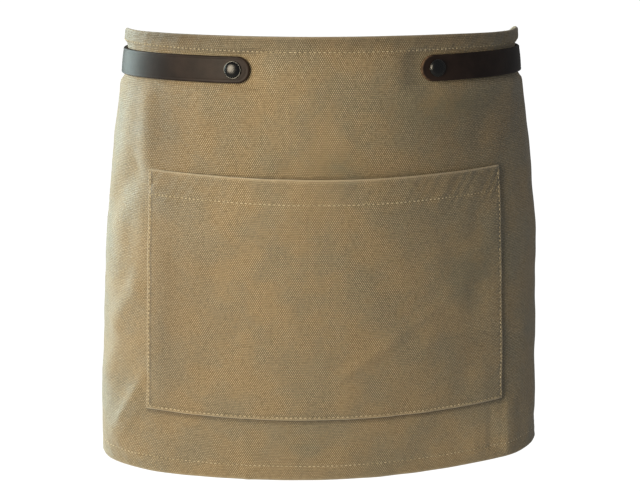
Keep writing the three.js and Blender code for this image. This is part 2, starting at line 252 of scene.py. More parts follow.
# Creases that stay in the cloth beside the pocket, in millimetres of arc and height
MAIN_FOLDS = (
    Fold((-148.85, -24.96), (-151.14, -68.64), 9.9, 1.92),
    Fold((-162.59, -78.0), (-199.23, -112.32), 10.8, -2.16),
    Fold((-162.59, -168.48), (-183.2, -199.68), 9.0, 1.92),
    Fold((-160.3, -255.84), (-180.91, -287.04), 9.0, 2.4),
    Fold((-206.1, -258.96), (-206.1, -290.16), 30.6, 2.04),
    Fold((153.43, -268.32), (153.43, -302.64), 9.0, 1.68),
    Fold((201.52, -187.2), (201.52, -287.04), 36.0, -1.2),
)
# Places where an edge hangs lower: whether it is the top edge, arc, reach and drop in millimetres
SAGS = (
    (False, -160.3, 68.7, 2.2),
    (False, 164.88, 38.93, 1.8),
    (True, 151.14, 59.54, 1.4),
)
# Shallow creases of folding and sitting
LIGHT_FOLDS = (
    Fold((4, -226), (84, -170), 5.0, 0.9),
    Fold((96, -250), (118, -170), 14.0, -0.8),
    Fold((-70, -262), (-66, -312), 2.6, 0.6),
    Fold((-153, -238), (-176, -275), 3.2, 0.8),
    Fold((-156, -262), (-178, -296), 3.0, 0.6),
    Fold((147, -264), (148, -308), 3.4, 0.7),
    Fold((131, -268), (133, -300), 4.0, -0.6),
    Fold((166, -290), (196, -284), 7.0, 0.7),
    Fold((-176, -214), (-196, -240), 9.0, 1.1),
    Fold((-158, -228), (-172, -246), 7.0, -0.7),
    Fold((-166, -120), (-170, -160), 8.0, -0.6),
    Fold((172, -60), (196, -150), 12.0, 0.8),
    Fold((4, -20), (6, -300), 7.0, 0.35),
)


@dataclass
class Cloth:
    """The cloth's outer face: the body, pressed in by the strap, creased and a little uneven."""

    body: BodyForm
    width: float = 458 * MM
    strap_width: float = 19 * MM
    strap_press: float = 2.8 * MM
    tip_press: float = 1.5 * MM
    tip_reach: float = 22 * MM
    press_margin: float = 1 * MM
    press_fade: float = 6 * MM
    tip_fade: float = 24 * MM
    tip_arc: float = 63.5 * MM
    corner_droop: float = 9 * MM
    droop_reach: float = 36 * MM
    sag_rise: float = 40 * MM
    ripple_height: float = 0.16 * MM
    ripple_count: int = 14
    seed: int = 11

    def __post_init__(self) -> None:
        """Draws the directions, lengths and phases of the ripples, the same each time."""
        draw = np.random.default_rng(self.seed)
        length = draw.uniform(22, 70, self.ripple_count) * MM
        heading = draw.uniform(0, math.pi, self.ripple_count)
        self.waves = np.stack([np.cos(heading), np.sin(heading)]) * 2 * math.pi / length
        self.phases = draw.uniform(0, 2 * math.pi, self.ripple_count)

    def press(self, arc: Array, z: Array) -> Array:
        """Depth that the strap presses in: most behind its tips, and none between them."""
        edge = self.strap_width / 2 + self.press_margin
        past_tip = np.abs(arc) - self.tip_arc
        depth = self.strap_press + self.tip_press * (1 - smoothstep(past_tip, 0, self.tip_reach))
        level = 1 - smoothstep(np.abs(z), edge, edge + self.press_fade)
        return depth * level * smoothstep(past_tip, -self.tip_fade, 0)

    def creases(self, arc: Array, z: Array) -> Array:
        """Sum of the folds and of sine ripples, flat behind the strap."""
        edge = self.strap_width / 2 + self.press_margin
        free = smoothstep(np.abs(z), edge, edge + self.press_fade)
        lift = sum(fold.height(arc, z) for fold in MAIN_FOLDS + LIGHT_FOLDS)
        wave = sum(
            np.sin(self.waves[0, k] * arc + self.waves[1, k] * z + self.phases[k])
            for k in range(self.ripple_count)
        )
        return (lift + self.ripple_height * wave / 2) * free

    def droop(self, arc: Array, z: Array) -> Array:
        """How far the top edge hangs at its corners, and both edges at the places in SAGS."""
        high = smoothstep(z, self.strap_width / 2 + self.press_margin, self.body.rise)
        low = 1 - smoothstep(z, -self.body.drop, -self.body.drop + self.sag_rise)
        near = smoothstep(np.abs(arc), self.width / 2 - self.droop_reach, self.width / 2)
        sags = sum(
            drop * MM * (high if at_top else low) * bell(arc - at * MM, reach * MM)
            for at_top, at, reach, drop in SAGS
        )
        return self.corner_droop * high * near + sags

    def point(self, arc: Array, z: Array, outward: Array) -> Array:
        """Points at a distance outside the outer face.

        Args:
            arc: Arc lengths.
            z: Heights.
            outward: Distances along the body's normal, from the cloth's outer face.

        Returns:
            Array (..., 3) of points.
        """
        arc, z, outward = np.broadcast_arrays(arc, z, outward)
        place, normal = self.body.place(arc, z)
        out = outward + self.creases(arc, z) - self.press(arc, z)
        place = place + normal * out[..., None]
        place[..., 2] -= self.droop(arc, z)
        return place

    def frame_at(self, arc: float, z: float) -> tuple[Array, Array, Array, Array]:
        """Place on the smooth cloth with unit vectors along the arc, up and out of it.

        Args:
            arc: Arc length.
            z: Height.

        Returns:
            The place and the three unit vectors.
        """
        reach = 1 * MM
        arcs = np.array([arc, arc + reach, arc - reach, arc, arc])
        heights = np.array([z, z, z, z + reach, z - reach])
        p = self.point(arcs, heights, np.zeros(5))
        along = (p[1] - p[2]) / np.linalg.norm(p[1] - p[2])
        out = np.cross(along, p[3] - p[4])
        out /= np.linalg.norm(out)
        return p[0], along, np.cross(out, along), out


class Meshes:
    """Turns arrays into Blender objects that ride on the apron's one body."""

    @staticmethod
    def grid_faces(tall: int, wide: int, offset: int, flip: bool, closed: bool = False) -> Array:
        """Quads of a grid of vertices numbered row by row.

        Args:
            tall: Number of rows.
            wide: Number of columns.
            offset: Number of the grid's first vertex.
            flip: Turns the faces over.
            closed: Joins the last column to the first.

        Returns:
            Array (faces, 4) of vertex numbers.
        """
        number = offset + np.arange(tall * wide).reshape(tall, wide)
        if closed:
            number = np.concatenate([number, number[:, :1]], axis=1)
        a = number[:-1, :-1]
        b = number[:-1, 1:]
        c = number[1:, 1:]
        d = number[1:, :-1]
        quads = np.stack([a, b, c, d], axis=-1).reshape(-1, 4)
        return quads[:, ::-1] if flip else quads

    @staticmethod
    def build(
        name: str,
        points: Array,
        faces: Array,
        places: Array | None = None,
        marks: dict[str, Array] | None = None,
        weld: float = 1e-6,
    ) -> bpy.types.Object:
        """Makes a mesh object at the origin.

        Args:
            name: Name of the object.
            points: Array (n, 3) of vertices.
            faces: Array (m, 4) of vertex numbers.
            places: Array (n, 2) of each vertex's place on the cloth, for the UV map.
            marks: Values for each vertex, by the name of their attribute.
            weld: Distance within which vertices become one.

        Returns:
            The object, linked to the scene and smooth.
        """
        keys = np.round(points / weld).astype(np.int64)
        unique, first, number = np.unique(keys, axis=0, return_index=True, return_inverse=True)
        number = number.ravel()
        faces = number[faces]
        lists = [list(dict.fromkeys(face)) for face in faces.tolist()]
        lists = [corners for corners in lists if len(corners) > 2]
        mesh = bpy.data.meshes.new(name)
        mesh.from_pydata(points[first].tolist(), [], lists)
        if places is not None:
            layer = mesh.uv_layers.new(name="place")
            corner = np.empty(len(mesh.loops), dtype=np.int32)
            mesh.loops.foreach_get("vertex_index", corner)
            layer.data.foreach_set("uv", places[first][corner].astype(np.float32).ravel())
        for key, values in (marks or {}).items():
            attribute = mesh.attributes.new(key, "FLOAT", "POINT")
            attribute.data.foreach_set("value", values[first].astype(np.float32))
        mesh.shade_smooth()
        mesh.update()
        piece = bpy.data.objects.new(name, mesh)
        bpy.context.scene.collection.objects.link(piece)
        return piece

    @staticmethod
    def finish(piece: bpy.types.Object, material: bpy.types.Material, slot: str) -> None:
        """Dresses a piece, lets it ride on the apron's body and reports it.

        Args:
            piece: The piece.
            material: Its material.
            slot: The record's material slot.
        """
        piece.data.materials.append(material)
        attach(piece, "root")
        triangles = sum(len(face.vertices) - 2 for face in piece.data.polygons)
        log.info("%s: %d triangles, slot %s", piece.name, triangles, slot)


class Nodes:
    """Adds nodes to one tree and links them."""

    def __init__(self, tree: bpy.types.NodeTree) -> None:
        """Works on tree."""
        self.tree = tree

    def add(self, kind: str, settings: dict | None = None, **inputs: object) -> bpy.types.Node:
        """Adds a node.

        Args:
            kind: Type name of the node.
            settings: Properties of the node.
            inputs: Values or sockets, by the input's name with _ for each space, or its number
                after an n.

        Returns:
            The node.
        """
        node = self.tree.nodes.new(kind)
        for key, value in (settings or {}).items():
            setattr(node, key, value)
        for key, value in inputs.items():
            spot = node.inputs[int(key[1:])] if key[1:].isdigit() else node.inputs[key.replace("_", " ")]
            self.put(spot, value)
        return node

    def put(self, spot: bpy.types.NodeSocket, value: object) -> None:
        """Sets an input to a value, or links it to a socket."""
        if isinstance(value, bpy.types.NodeSocket):
            self.tree.links.new(value, spot)
        else:
            spot.default_value = value

    def math(self, operation: str, *values: object) -> bpy.types.NodeSocket:
        """Result of a Math node with an operation on values or sockets."""
        inputs = {f"n{k}": value for k, value in enumerate(values)}
        return self.add("ShaderNodeMath", {"operation": operation}, **inputs).outputs[0]

    def times(self, first: object, second: object) -> bpy.types.NodeSocket:
        """Product of two values or sockets."""
        return self.math("MULTIPLY", first, second)

    def plus(self, first: object, second: object) -> bpy.types.NodeSocket:
        """Sum of two values or sockets."""
        return self.math("ADD", first, second)

    def mark(self, name: str) -> bpy.types.NodeSocket:
        """Value of one of the mesh's own attributes."""
        return self.add("ShaderNodeAttribute", {"attribute_name": name}).outputs["Fac"]

    def ramp(self, value: object, low: float, high: float, soft: bool = True) -> bpy.types.NodeSocket:
        """Value mapped from low..high to 0..1, clamped.

        Args:
            value: Socket to map.
            low: Value that gives 0.
            high: Value that gives 1.
            soft: Whether the map eases at its ends.

        Returns:
            The mapped socket.
        """
        kind = "SMOOTHSTEP" if soft else "LINEAR"
        node = self.add("ShaderNodeMapRange", {"interpolation_type": kind}, n0=value, n1=low, n2=high)
        return node.outputs[0]

    def blend(self, share: object, first: object, second: object, mode: str = "MIX") -> bpy.types.NodeSocket:
        """Colour between two colours.

        Args:
            share: How much of the second.
            first: Colour or socket.
            second: Colour or socket.
            mode: Blend type.

        Returns:
            The mixed colour's socket.
        """
        node = self.add("ShaderNodeMix", {"data_type": "RGBA", "blend_type": mode})
        self.put(node.inputs[0], share)
        for spot, value in ((node.inputs[6], first), (node.inputs[7], second)):
            self.put(spot, (*value, 1.0) if isinstance(value, tuple) else value)
        return node.outputs[2]

    def noise(
        self,
        vector: object,
        scale: object,
        detail: float = 2,
        rough: float = 0.5,
    ) -> bpy.types.NodeSocket:
        """Noise value from 0 to 1 at a scale in cycles per metre."""
        node = self.add("ShaderNodeTexNoise", Vector=vector, Scale=scale, Detail=detail, Roughness=rough)
        return node.outputs["Fac"]

    def stretch(self, vector: object, x: float, y: float, z: float = 1) -> bpy.types.NodeSocket:
        """Vector scaled along its axes."""
        node = self.add("ShaderNodeVectorMath", {"operation": "MULTIPLY"}, n0=vector, n1=(x, y, z))
        return node.outputs[0]

    def bump(self, height: object, distance: float, strength: float, below: object = None) -> object:
        """Normal of a height field.

        Args:
            height: Height socket, from 0 to 1.
            distance: Height of 1, in metres.
            strength: Share of the effect.
            below: Normal that this one is added to.

        Returns:
            The normal's socket.
        """
        node = self.add("ShaderNodeBump", Strength=strength, Distance=distance, Height=height)
        if below is not None:
            self.put(node.inputs["Normal"], below)
        return node.outputs[0]

    def group(self, tree: bpy.types.NodeTree, **inputs: object) -> bpy.types.Node:
        """Places a node group with its own values."""
        return self.add("ShaderNodeGroup", {"node_tree": tree}, **inputs)


def new_group(name: str, inputs: dict[str, object], outputs: dict[str, str]) -> tuple:
    """Starts a shader node group with named sockets.

    Args:
        name: Name of the group.
        inputs: Default values by name; None makes a vector.
        outputs: Socket kinds by name.

    Returns:
        The tree, its Nodes, the input node and the output node.
    """
    tree = bpy.data.node_groups.new(name, "ShaderNodeTree")
    for key, value in inputs.items():
        kind = "NodeSocketVector" if value is None else "NodeSocketFloat"
        socket = tree.interface.new_socket(key, in_out="INPUT", socket_type=kind)
        if value is not None:
            socket.default_value = value
    for key, kind in outputs.items():
        tree.interface.new_socket(key, in_out="OUTPUT", socket_type=kind)
    nodes = Nodes(tree)
    return tree, nodes, nodes.add("NodeGroupInput"), nodes.add("NodeGroupOutput")


def plain_weave_group() -> bpy.types.NodeTree:
    """Plain weave: warp and weft threads pass over each other in turn.

    With a = pi * x / warp pitch and b = pi * y / weft pitch, the weave is sin a * sin b: the warp
    lies on top where it is positive and the weft where it is negative. Warp crowns stand up as
    |sin a * sin b|, weft ribs as rib_height * |sin b|. Slub makes the threads uneven along their
    length, and a slow noise bends their lines by up to wander / 2.

    Returns:
        The group, which puts out the height, the weave, |sin b|, the slub and a mask of flecks.
    """
    wander = 2.6 * MM
    rib_height = 0.7
    warp_slub = 0.4
    tree, nodes, source, sink = new_group(
        "plain_weave",
        {"Place": None, "Warp Pitch": 0.76 * MM, "Weft Pitch": 1.28 * MM, "Slub": 0.5},
        {key: "NodeSocketFloat" for key in ("Height", "Weave", "Rib", "Slub", "Fleck")},
    )
    place = source.outputs["Place"]
    wobble = nodes.add("ShaderNodeTexNoise", Vector=place, Scale=35.0, Detail=3.0)
    shift = nodes.add(
        "ShaderNodeVectorMath",
        {"operation": "SCALE"},
        n0=wobble.outputs["Color"],
        Scale=wander,
    )
    moved = nodes.add("ShaderNodeVectorMath", {"operation": "ADD"}, n0=place, n1=shift.outputs[0])
    parts = nodes.add("ShaderNodeSeparateXYZ", n0=moved.outputs[0])
    half_turns_x = nodes.math("DIVIDE", parts.outputs[0], source.outputs["Warp Pitch"])
    half_turns_y = nodes.math("DIVIDE", parts.outputs[1], source.outputs["Weft Pitch"])
    sine_x = nodes.math("SINE", nodes.times(half_turns_x, math.pi))
    sine_y = nodes.math("SINE", nodes.times(half_turns_y, math.pi))
    weave = nodes.times(sine_x, sine_y)
    over = nodes.ramp(weave, -0.2, 0.2)
    crown = nodes.times(nodes.math("ABSOLUTE", weave), over)
    weft = nodes.math("ABSOLUTE", sine_y)
    rib = nodes.times(weft, nodes.math("SUBTRACT", rib_height, nodes.times(over, rib_height)))
    slub_warp = nodes.noise(nodes.stretch(place, 1.0, 0.35), 700.0, 1)
    slub_weft = nodes.noise(nodes.stretch(place, 0.6, 1.0), 620.0, 1)
    slub = nodes.plus(nodes.times(slub_warp, warp_slub), nodes.times(slub_weft, 1 - warp_slub))
    uneven = nodes.times(nodes.math("SUBTRACT", slub, 0.5), source.outputs["Slub"])
    height = nodes.plus(nodes.plus(crown, rib), uneven)
    fleck = nodes.ramp(nodes.noise(nodes.stretch(place, 0.7, 1.0), 650.0, 1), 0.66, 0.76)
    found = {"Height": height, "Weave": weave, "Rib": weft, "Slub": slub, "Fleck": fleck}
    for key, value in found.items():
        nodes.put(sink.inputs[key], value)
    return tree


def patina_group() -> bpy.types.NodeTree:
    """Clouds of wear: slow patches, and scuffs that are finer and sparser.

    Scuffs start where the fine noise passes 0.78 - 0.3 * their amount, and are full a softness on.

    Returns:
        The group, which puts out a patch mask and a scuff mask.
    """
    softness = 0.14
    tree, nodes, source, sink = new_group(
        "patina",
        {"Place": None, "Patch Scale": 18.0, "Scuff Scale": 90.0, "Scuff Amount": 0.5},
        {"Patch": "NodeSocketFloat", "Scuff": "NodeSocketFloat"},
    )
    place = source.outputs["Place"]
    slow = nodes.noise(place, source.outputs["Patch Scale"], 4, 0.6)
    fine = nodes.noise(place, source.outputs["Scuff Scale"], 5, 0.7)
    edge = nodes.math("SUBTRACT", 0.78, nodes.times(source.outputs["Scuff Amount"], 0.3))
    scuff = nodes.add("ShaderNodeMapRange", {"interpolation_type": "SMOOTHSTEP"}, n0=fine, n1=edge)
    nodes.put(scuff.inputs[2], nodes.plus(edge, softness))
    nodes.put(sink.inputs["Patch"], nodes.ramp(slow, 0.36, 0.64))
    nodes.put(sink.inputs["Scuff"], scuff.outputs[0])
    return tree


@dataclass(frozen=True)
class WaxedCanvas:
    """Waxed cotton duck: golden tan with olive clouds and pale rubbed flecks.

    The shares say how much each layer of the colour covers the one below it: thin threads, the
    gaps between weft ribs, pits, warp crowns, flecks, scuffs and rubbed edges, whose paleness is
    real wear and partly a painted highlight.
    """

    golden: Colour = (0.36, 0.25, 0.108)
    olive: Colour = (0.215, 0.19, 0.112)
    fleck: Colour = (0.72, 0.6, 0.42)
    dark: Colour = (0.09, 0.068, 0.04)
    roughness: float = 0.7
    sheen: float = 0.35
    sheen_roughness: float = 0.45
    warp_pitch: float = 0.76 * MM
    weft_pitch: float = 1.28 * MM
    weave_depth: float = 0.3 * MM
    slub: float = 0.5
    cloud_share: float = 0.72
    thread_share: float = 0.22
    gap_share: float = 0.5
    pit_share: float = 0.62
    crown_share: float = 0.9
    fleck_share: float = 0.3
    scuff_share: float = 0.2
    rubbed_and_highlight_share: float = 0.5
    gloss_share: float = 0.14
    crease_depth: float = 0.9 * MM

    def material(self, name: str, groups: "Groups") -> bpy.types.Material:
        """Canvas whose weave follows the cloth's own places.

        Args:
            name: Name of the material.
            groups: The shared node groups.

        Returns:
            The material.
        """
        material, nodes, shader = new_material(name)
        place = nodes.add("ShaderNodeUVMap", {"uv_map": "place"}).outputs[0]
        weave = nodes.group(groups.weave, Place=place, Slub=self.slub)
        weave.inputs["Warp Pitch"].default_value = self.warp_pitch
        weave.inputs["Weft Pitch"].default_value = self.weft_pitch
        wear = nodes.group(groups.patina, Place=place, Patch_Scale=25.0, Scuff_Scale=75.0, Scuff_Amount=0.55)
        woven, rib, slub, fleck = (weave.outputs[key] for key in ("Weave", "Rib", "Slub", "Fleck"))
        patch, scuff = wear.outputs["Patch"], wear.outputs["Scuff"]
        # The shade attribute is the wax clouds: olive and golden mottling, partly painted shade on the right
        # half
        shade = nodes.mark("shade")
        cloud = nodes.plus(nodes.times(patch, self.cloud_share), shade)
        colour = nodes.blend(nodes.ramp(cloud, 0.0, 1.0, False), self.golden, self.olive)
        # The weave is crisp on golden cloth and soft in the darker clouds
        crisp = nodes.ramp(shade, 0.75, 0.15)
        crown = nodes.times(nodes.ramp(woven, 0.1, 0.75), crisp)
        layers = (
            (nodes.ramp(slub, 0.6, 0.38), self.thread_share, self.dark),
            (nodes.times(nodes.ramp(rib, 0.75, 0.1), crisp), self.gap_share, self.dark),
            (nodes.times(nodes.ramp(woven, -0.1, -0.75), crisp), self.pit_share, self.dark),
            (nodes.times(crown, nodes.ramp(slub, 0.2, 0.6)), self.crown_share, self.fleck),
            (fleck, self.fleck_share, self.fleck),
            (scuff, self.scuff_share, self.fleck),
            # Rubbed edges: real wear, and partly a painted highlight along the folded edges
            (nodes.mark("rubbed"), self.rubbed_and_highlight_share, self.fleck),
        )
        for mask, share, layer in layers:
            colour = nodes.blend(nodes.times(mask, share), colour, layer)
        # Painted shade and painted light scale the colour by the attribute, with the lines of painted shadow
        # on the front face
        painted_light_factor = nodes.math("SUBTRACT", 1.0, nodes.mark("painted_light_and_shade"))
        soiled_and_painted_light = nodes.add("ShaderNodeVectorMath", {"operation": "SCALE"}, n0=colour, Scale=painted_light_factor)
        nodes.put(shader.inputs["Base Color"], soiled_and_painted_light.outputs[0])
        gloss = nodes.times(patch, self.gloss_share)
        nodes.put(shader.inputs["Roughness"], nodes.math("SUBTRACT", self.roughness, gloss))
        creased = nodes.bump(nodes.noise(place, 130.0, 4, 0.62), self.crease_depth, 0.35)
        normal = nodes.bump(weave.outputs["Height"], self.weave_depth, 1.0, creased)
        nodes.put(shader.inputs["Normal"], normal)
        shader.inputs["Sheen Weight"].default_value = self.sheen
        shader.inputs["Sheen Roughness"].default_value = self.sheen_roughness
        return material


@dataclass(frozen=True)
class SewingThread:
    """Twisted thread, pale tan and a little dirty, with painted shadow in its needle holes."""

    colour: Colour = (0.8, 0.7, 0.5)
    soiled_and_painted_light: Colour = (0.5, 0.42, 0.27)
    shadow: Colour = (0.03, 0.024, 0.016)
    twist_scale: float = 2400.0
    twist_depth: float = 0.08 * MM
    roughness: float = 0.6

    def material(self, name: str, groups: "Groups") -> bpy.types.Material:
        """Thread with a twist along each stitch, and shadow where the attribute hole is 1.

        Args:
            name: Name of the material.
            groups: The shared node groups.

        Returns:
            The material.
        """
        material, nodes, shader = new_material(name)
        place = nodes.add("ShaderNodeTexCoord").outputs["Object"]
        wear = nodes.group(groups.patina, Place=place, Patch_Scale=60.0, Scuff_Scale=300.0, Scuff_Amount=0.5)
        twist = nodes.add(
            "ShaderNodeTexWave",
            {"bands_direction": "DIAGONAL"},
            Vector=place,
            Scale=self.twist_scale,
            Distortion=1.5,
        )
        strand = nodes.blend(wear.outputs["Patch"], self.colour, self.soiled_and_painted_light)
        # Needle hole beads take the painted shadow colour
        nodes.put(shader.inputs["Base Color"], nodes.blend(nodes.mark("hole"), strand, self.shadow))
        nodes.put(shader.inputs["Normal"], nodes.bump(twist.outputs["Fac"], self.twist_depth, 0.7))
        shader.inputs["Roughness"].default_value = self.roughness
        return material


@dataclass(frozen=True)
class StrapLeather:
    """Dark brown bridle leather, tan where its cut edge is raw."""

    face: Colour = (0.014, 0.0088, 0.0075)
    worn: Colour = (0.034, 0.021, 0.0165)
    edge: Colour = (0.14, 0.09, 0.056)
    roughness: float = 0.48
    reflection: float = 0.2
    worn_share: float = 0.55
    scuff_share: float = 0.3
    scuff_dulls: float = 0.15
    cut_dulls: float = 0.3
    pebble_share: float = 0.7
    grain_depth: float = 0.12 * MM
    sag_depth: float = 0.8 * MM

    def material(self, name: str, groups: "Groups") -> bpy.types.Material:
        """Leather with a pebbled grain and rub marks, and a raw edge where cut_edge is 1.

        Args:
            name: Name of the material.
            groups: The shared node groups.

        Returns:
            The material.
        """
        material, nodes, shader = new_material(name)
        place = nodes.add("ShaderNodeUVMap", {"uv_map": "place"}).outputs[0]
        wear = nodes.group(groups.patina, Place=place, Patch_Scale=40.0, Scuff_Scale=260.0, Scuff_Amount=0.6)
        patch, scuff = wear.outputs["Patch"], wear.outputs["Scuff"]
        ragged = nodes.times(nodes.mark("cut_edge"), nodes.ramp(nodes.noise(place, 380.0, 3), 0.25, 0.6))
        face = nodes.blend(nodes.times(patch, self.worn_share), self.face, self.worn)
        scuffed = nodes.blend(nodes.times(scuff, self.scuff_share), face, self.worn)
        nodes.put(shader.inputs["Base Color"], nodes.blend(ragged, scuffed, self.edge))
        cells = nodes.add("ShaderNodeTexVoronoi", {"feature": "SMOOTH_F1"}, Vector=place, Scale=1500.0)
        pebbles = nodes.times(cells.outputs["Distance"], self.pebble_share)
        pores = nodes.times(nodes.noise(place, 2600.0, 2), 1 - self.pebble_share)
        sag = nodes.bump(nodes.noise(place, 70.0, 2), self.sag_depth, 0.2)
        grain = nodes.bump(nodes.plus(pebbles, pores), self.grain_depth, 0.35, sag)
        nodes.put(shader.inputs["Normal"], grain)
        dull = nodes.plus(nodes.times(scuff, self.scuff_dulls), nodes.times(ragged, self.cut_dulls))
        nodes.put(shader.inputs["Roughness"], nodes.plus(dull, self.roughness))
        shader.inputs["Specular IOR Level"].default_value = self.reflection
        return material


@dataclass(frozen=True)
class Gunmetal:
    """Dark nickel plating, worn brighter on the rims."""

    plate: Colour = (0.05, 0.05, 0.05)
    bright: Colour = (0.12, 0.12, 0.115)
    roughness: float = 0.27
    scuff_dulls: float = 0.25
    scratch_depth: float = 0.03 * MM

    def material(self, name: str, groups: "Groups") -> bpy.types.Material:
        """Plated metal with rubbed rims and fine scratches.

        Args:
            name: Name of the material.
            groups: The shared node groups.

        Returns:
            The material.
        """
        material, nodes, shader = new_material(name)
        place = nodes.add("ShaderNodeTexCoord").outputs["Object"]
        wear = nodes.group(groups.patina, Place=place, Patch_Scale=220.0, Scuff_Scale=900.0, Scuff_Amount=0.7)
        rubbed = nodes.times(nodes.mark("rim"), nodes.ramp(wear.outputs["Patch"], -0.8, 0.9))
        nodes.put(shader.inputs["Base Color"], nodes.blend(rubbed, self.plate, self.bright))
        scratch = nodes.noise(nodes.stretch(place, 1.0, 1.0, 9.0), 1800.0, 3)
        nodes.put(shader.inputs["Normal"], nodes.bump(scratch, self.scratch_depth, 0.5))
        rough = nodes.plus(nodes.times(wear.outputs["Scuff"], self.scuff_dulls), self.roughness)
        nodes.put(shader.inputs["Roughness"], rough)
        shader.inputs["Metallic"].default_value = 1.0
        return material


@dataclass(frozen=True)
class Groups:
    """The node groups that several materials share."""

    weave: bpy.types.NodeTree
    patina: bpy.types.NodeTree


def new_material(name: str) -> tuple:
    """Starts a material.

    Args:
        name: Name of the material.

    Returns:
        The material, its Nodes and its Principled shader.
    """
    material = bpy.data.materials.new(name)
    material.use_nodes = True
    nodes = Nodes(material.node_tree)
    return material, nodes, material.node_tree.nodes["Principled BSDF"]


class Edge(Enum):
    """Which of a cloth's four edges a hem or a seam runs along."""

    TOP = "top"
    BOTTOM = "bottom"
    LEFT = "left"
    RIGHT = "right"


@dataclass
class HemmedSheet:
    """A rectangle of cloth with folded edges, between a front face and a back face.

    Distances from its four edges give the wall: the hem's double wall up to the fold, then the
    single wall, with a rounded outer edge. Its corners are a little round. Lines of painted shadow
    darken its front face.
    """

    cloth: Cloth
    left: float
    right: float
    bottom: float
    top: float
    folds: dict[Edge, float]
    seams: dict[Edge, float]
    painted_shadow_lines: tuple[Fold, ...] = ()
    stand_off: float = 0.0
    wall: float = 1.2 * MM
    hem_wall: float = 2.4 * MM
    step: float = 2.2 * MM
    fold_step: float = 1 * MM
    corner: float = 2.5 * MM
    seam_depth: float = 0.28 * MM
    seam_width: float = 1 * MM
    rope_height: float = 0.22 * MM
    rope_length: float = 11 * MM
    rope_slant: float = 0.7
    rope_sway: float = 1.7
    rope_rhythm: float = 0.31
    rope_least: float = 4 * MM
    rope_fade: float = 1.6
    edge_ease: float = 1.5 * MM
    rub_and_highlight_width: float = 1.3 * MM
    wax: float = 0.1
    back_shift: float = 0.37

    def distances(self, arc: Array, z: Array) -> dict[Edge, Array]:
        """Distance of each place from each edge."""
        return {
            Edge.TOP: self.top - z,
            Edge.BOTTOM: z - self.bottom,
            Edge.LEFT: arc - self.left,
            Edge.RIGHT: self.right - arc,
        }

    def rounded(self, arc: Array, z: Array) -> tuple[Array, Array]:
        """Places moved so that the corners are arcs.

        In a corner square with local shares a and b from its inner corner, the place becomes
        a * sqrt(1 - b^2 / 2) and b * sqrt(1 - a^2 / 2).

        Args:
            arc: Arc lengths.
            z: Heights.

        Returns:
            The moved arc lengths and heights.
        """
        middle_arc = (self.left + self.right) / 2
        middle_z = (self.top + self.bottom) / 2
        half_arc = (self.right - self.left) / 2 - self.corner
        half_z = (self.top - self.bottom) / 2 - self.corner
        side = np.sign(arc - middle_arc)
        level = np.sign(z - middle_z)
        a = np.clip((np.abs(arc - middle_arc) - half_arc) / self.corner, 0, 1)
        b = np.clip((np.abs(z - middle_z) - half_z) / self.corner, 0, 1)
        arc = arc + side * self.corner * a * (np.sqrt(1 - b * b / 2) - 1)
        z = z + level * self.corner * b * (np.sqrt(1 - a * a / 2) - 1)
        return arc, z

    def relief(self, arc: Array, z: Array) -> Array:
        """Small height of the front face: seam grooves, and ropy ripples between seam and edge.

        A ripple is sin(p + sway * sin(rhythm * p)) with p the phase along the edge, slanted by
        the distance from it.

        Args:
            arc: Arc lengths.
            z: Heights.

        Returns:
            The height at each place.
        """
        height = np.zeros(np.broadcast(arc, z).shape)
        for edge, distance in self.distances(arc, z).items():
            if edge not in self.seams:
                continue
            seam = self.seams[edge]
            along = arc if edge in (Edge.TOP, Edge.BOTTOM) else z
            slant = distance / self.rope_length
            phase = 2 * math.pi * (along / self.rope_length + self.rope_slant * slant)
            rope = np.sin(phase + self.rope_sway * np.sin(self.rope_rhythm * phase))
            fold = max(seam, self.rope_least)
            fading = 1 - smoothstep(distance, fold, self.rope_fade * fold)
            band = smoothstep(distance, 0, self.edge_ease) * fading
            height = height + self.rope_height * rope * band
            height = height - self.seam_depth * bell(distance - seam, self.seam_width)
        return height

    def stand(self, arc: Array, z: Array) -> Array:
        """Distance of the front face from the cloth's outer face."""
        return self.stand_off + 0 * arc

    def arc_of(self, column: Array, z: Array) -> Array:
        """Arc length on the body of a place's column in the sheet."""
        return column

    def face_point(self, arc: Array, z: Array) -> Array:
        """Points of the front face."""
        return self.cloth.point(self.arc_of(arc, z), z, self.stand(arc, z) + self.relief(arc, z))

    def back_depth(self, arc: Array, z: Array) -> Array:
        """Wall between the faces: hem_wall within each fold, wall past it."""
        past = [d - self.folds[edge] for edge, d in self.distances(arc, z).items() if edge in self.folds]
        beyond = np.minimum.reduce(past)
        return self.hem_wall + (self.wall - self.hem_wall) * smoothstep(beyond, 0, self.fold_step)

    def grid(self) -> tuple[Array, Array]:
        """Columns and rows of the mesh, finer at edges, folds and seams.

        Returns:
            Two arrays (rows, columns), arc lengths and heights.
        """
        radius = self.hem_wall / 2
        near = np.array([0.1, 0.3, 0.6, 1.0]) * radius
        seam_stops = np.array([-0.8, 0, 0.8]) * MM
        fold_stops = np.array([0, 0.5, 1.0]) * self.fold_step

        def stops(low: float, high: float, low_edge: Edge, high_edge: Edge) -> Array:
            """Stations near two opposite edges, at their rounding, seams and folds."""
            found = [low + near, high - near]
            for edge, start, inward in ((low_edge, low, 1), (high_edge, high, -1)):
                if edge in self.seams:
                    found.append(start + inward * (self.seams[edge] + seam_stops))
                if edge in self.folds:
                    found.append(start + inward * (self.folds[edge] + fold_stops))
            return np.concatenate(found)

        across = stops(self.left, self.right, Edge.LEFT, Edge.RIGHT)
        upward = stops(self.bottom, self.top, Edge.BOTTOM, Edge.TOP)
        columns = stations(self.left, self.right, self.step, across)
        rows = stations(self.bottom, self.top, self.step, upward)
        return np.meshgrid(columns, rows)

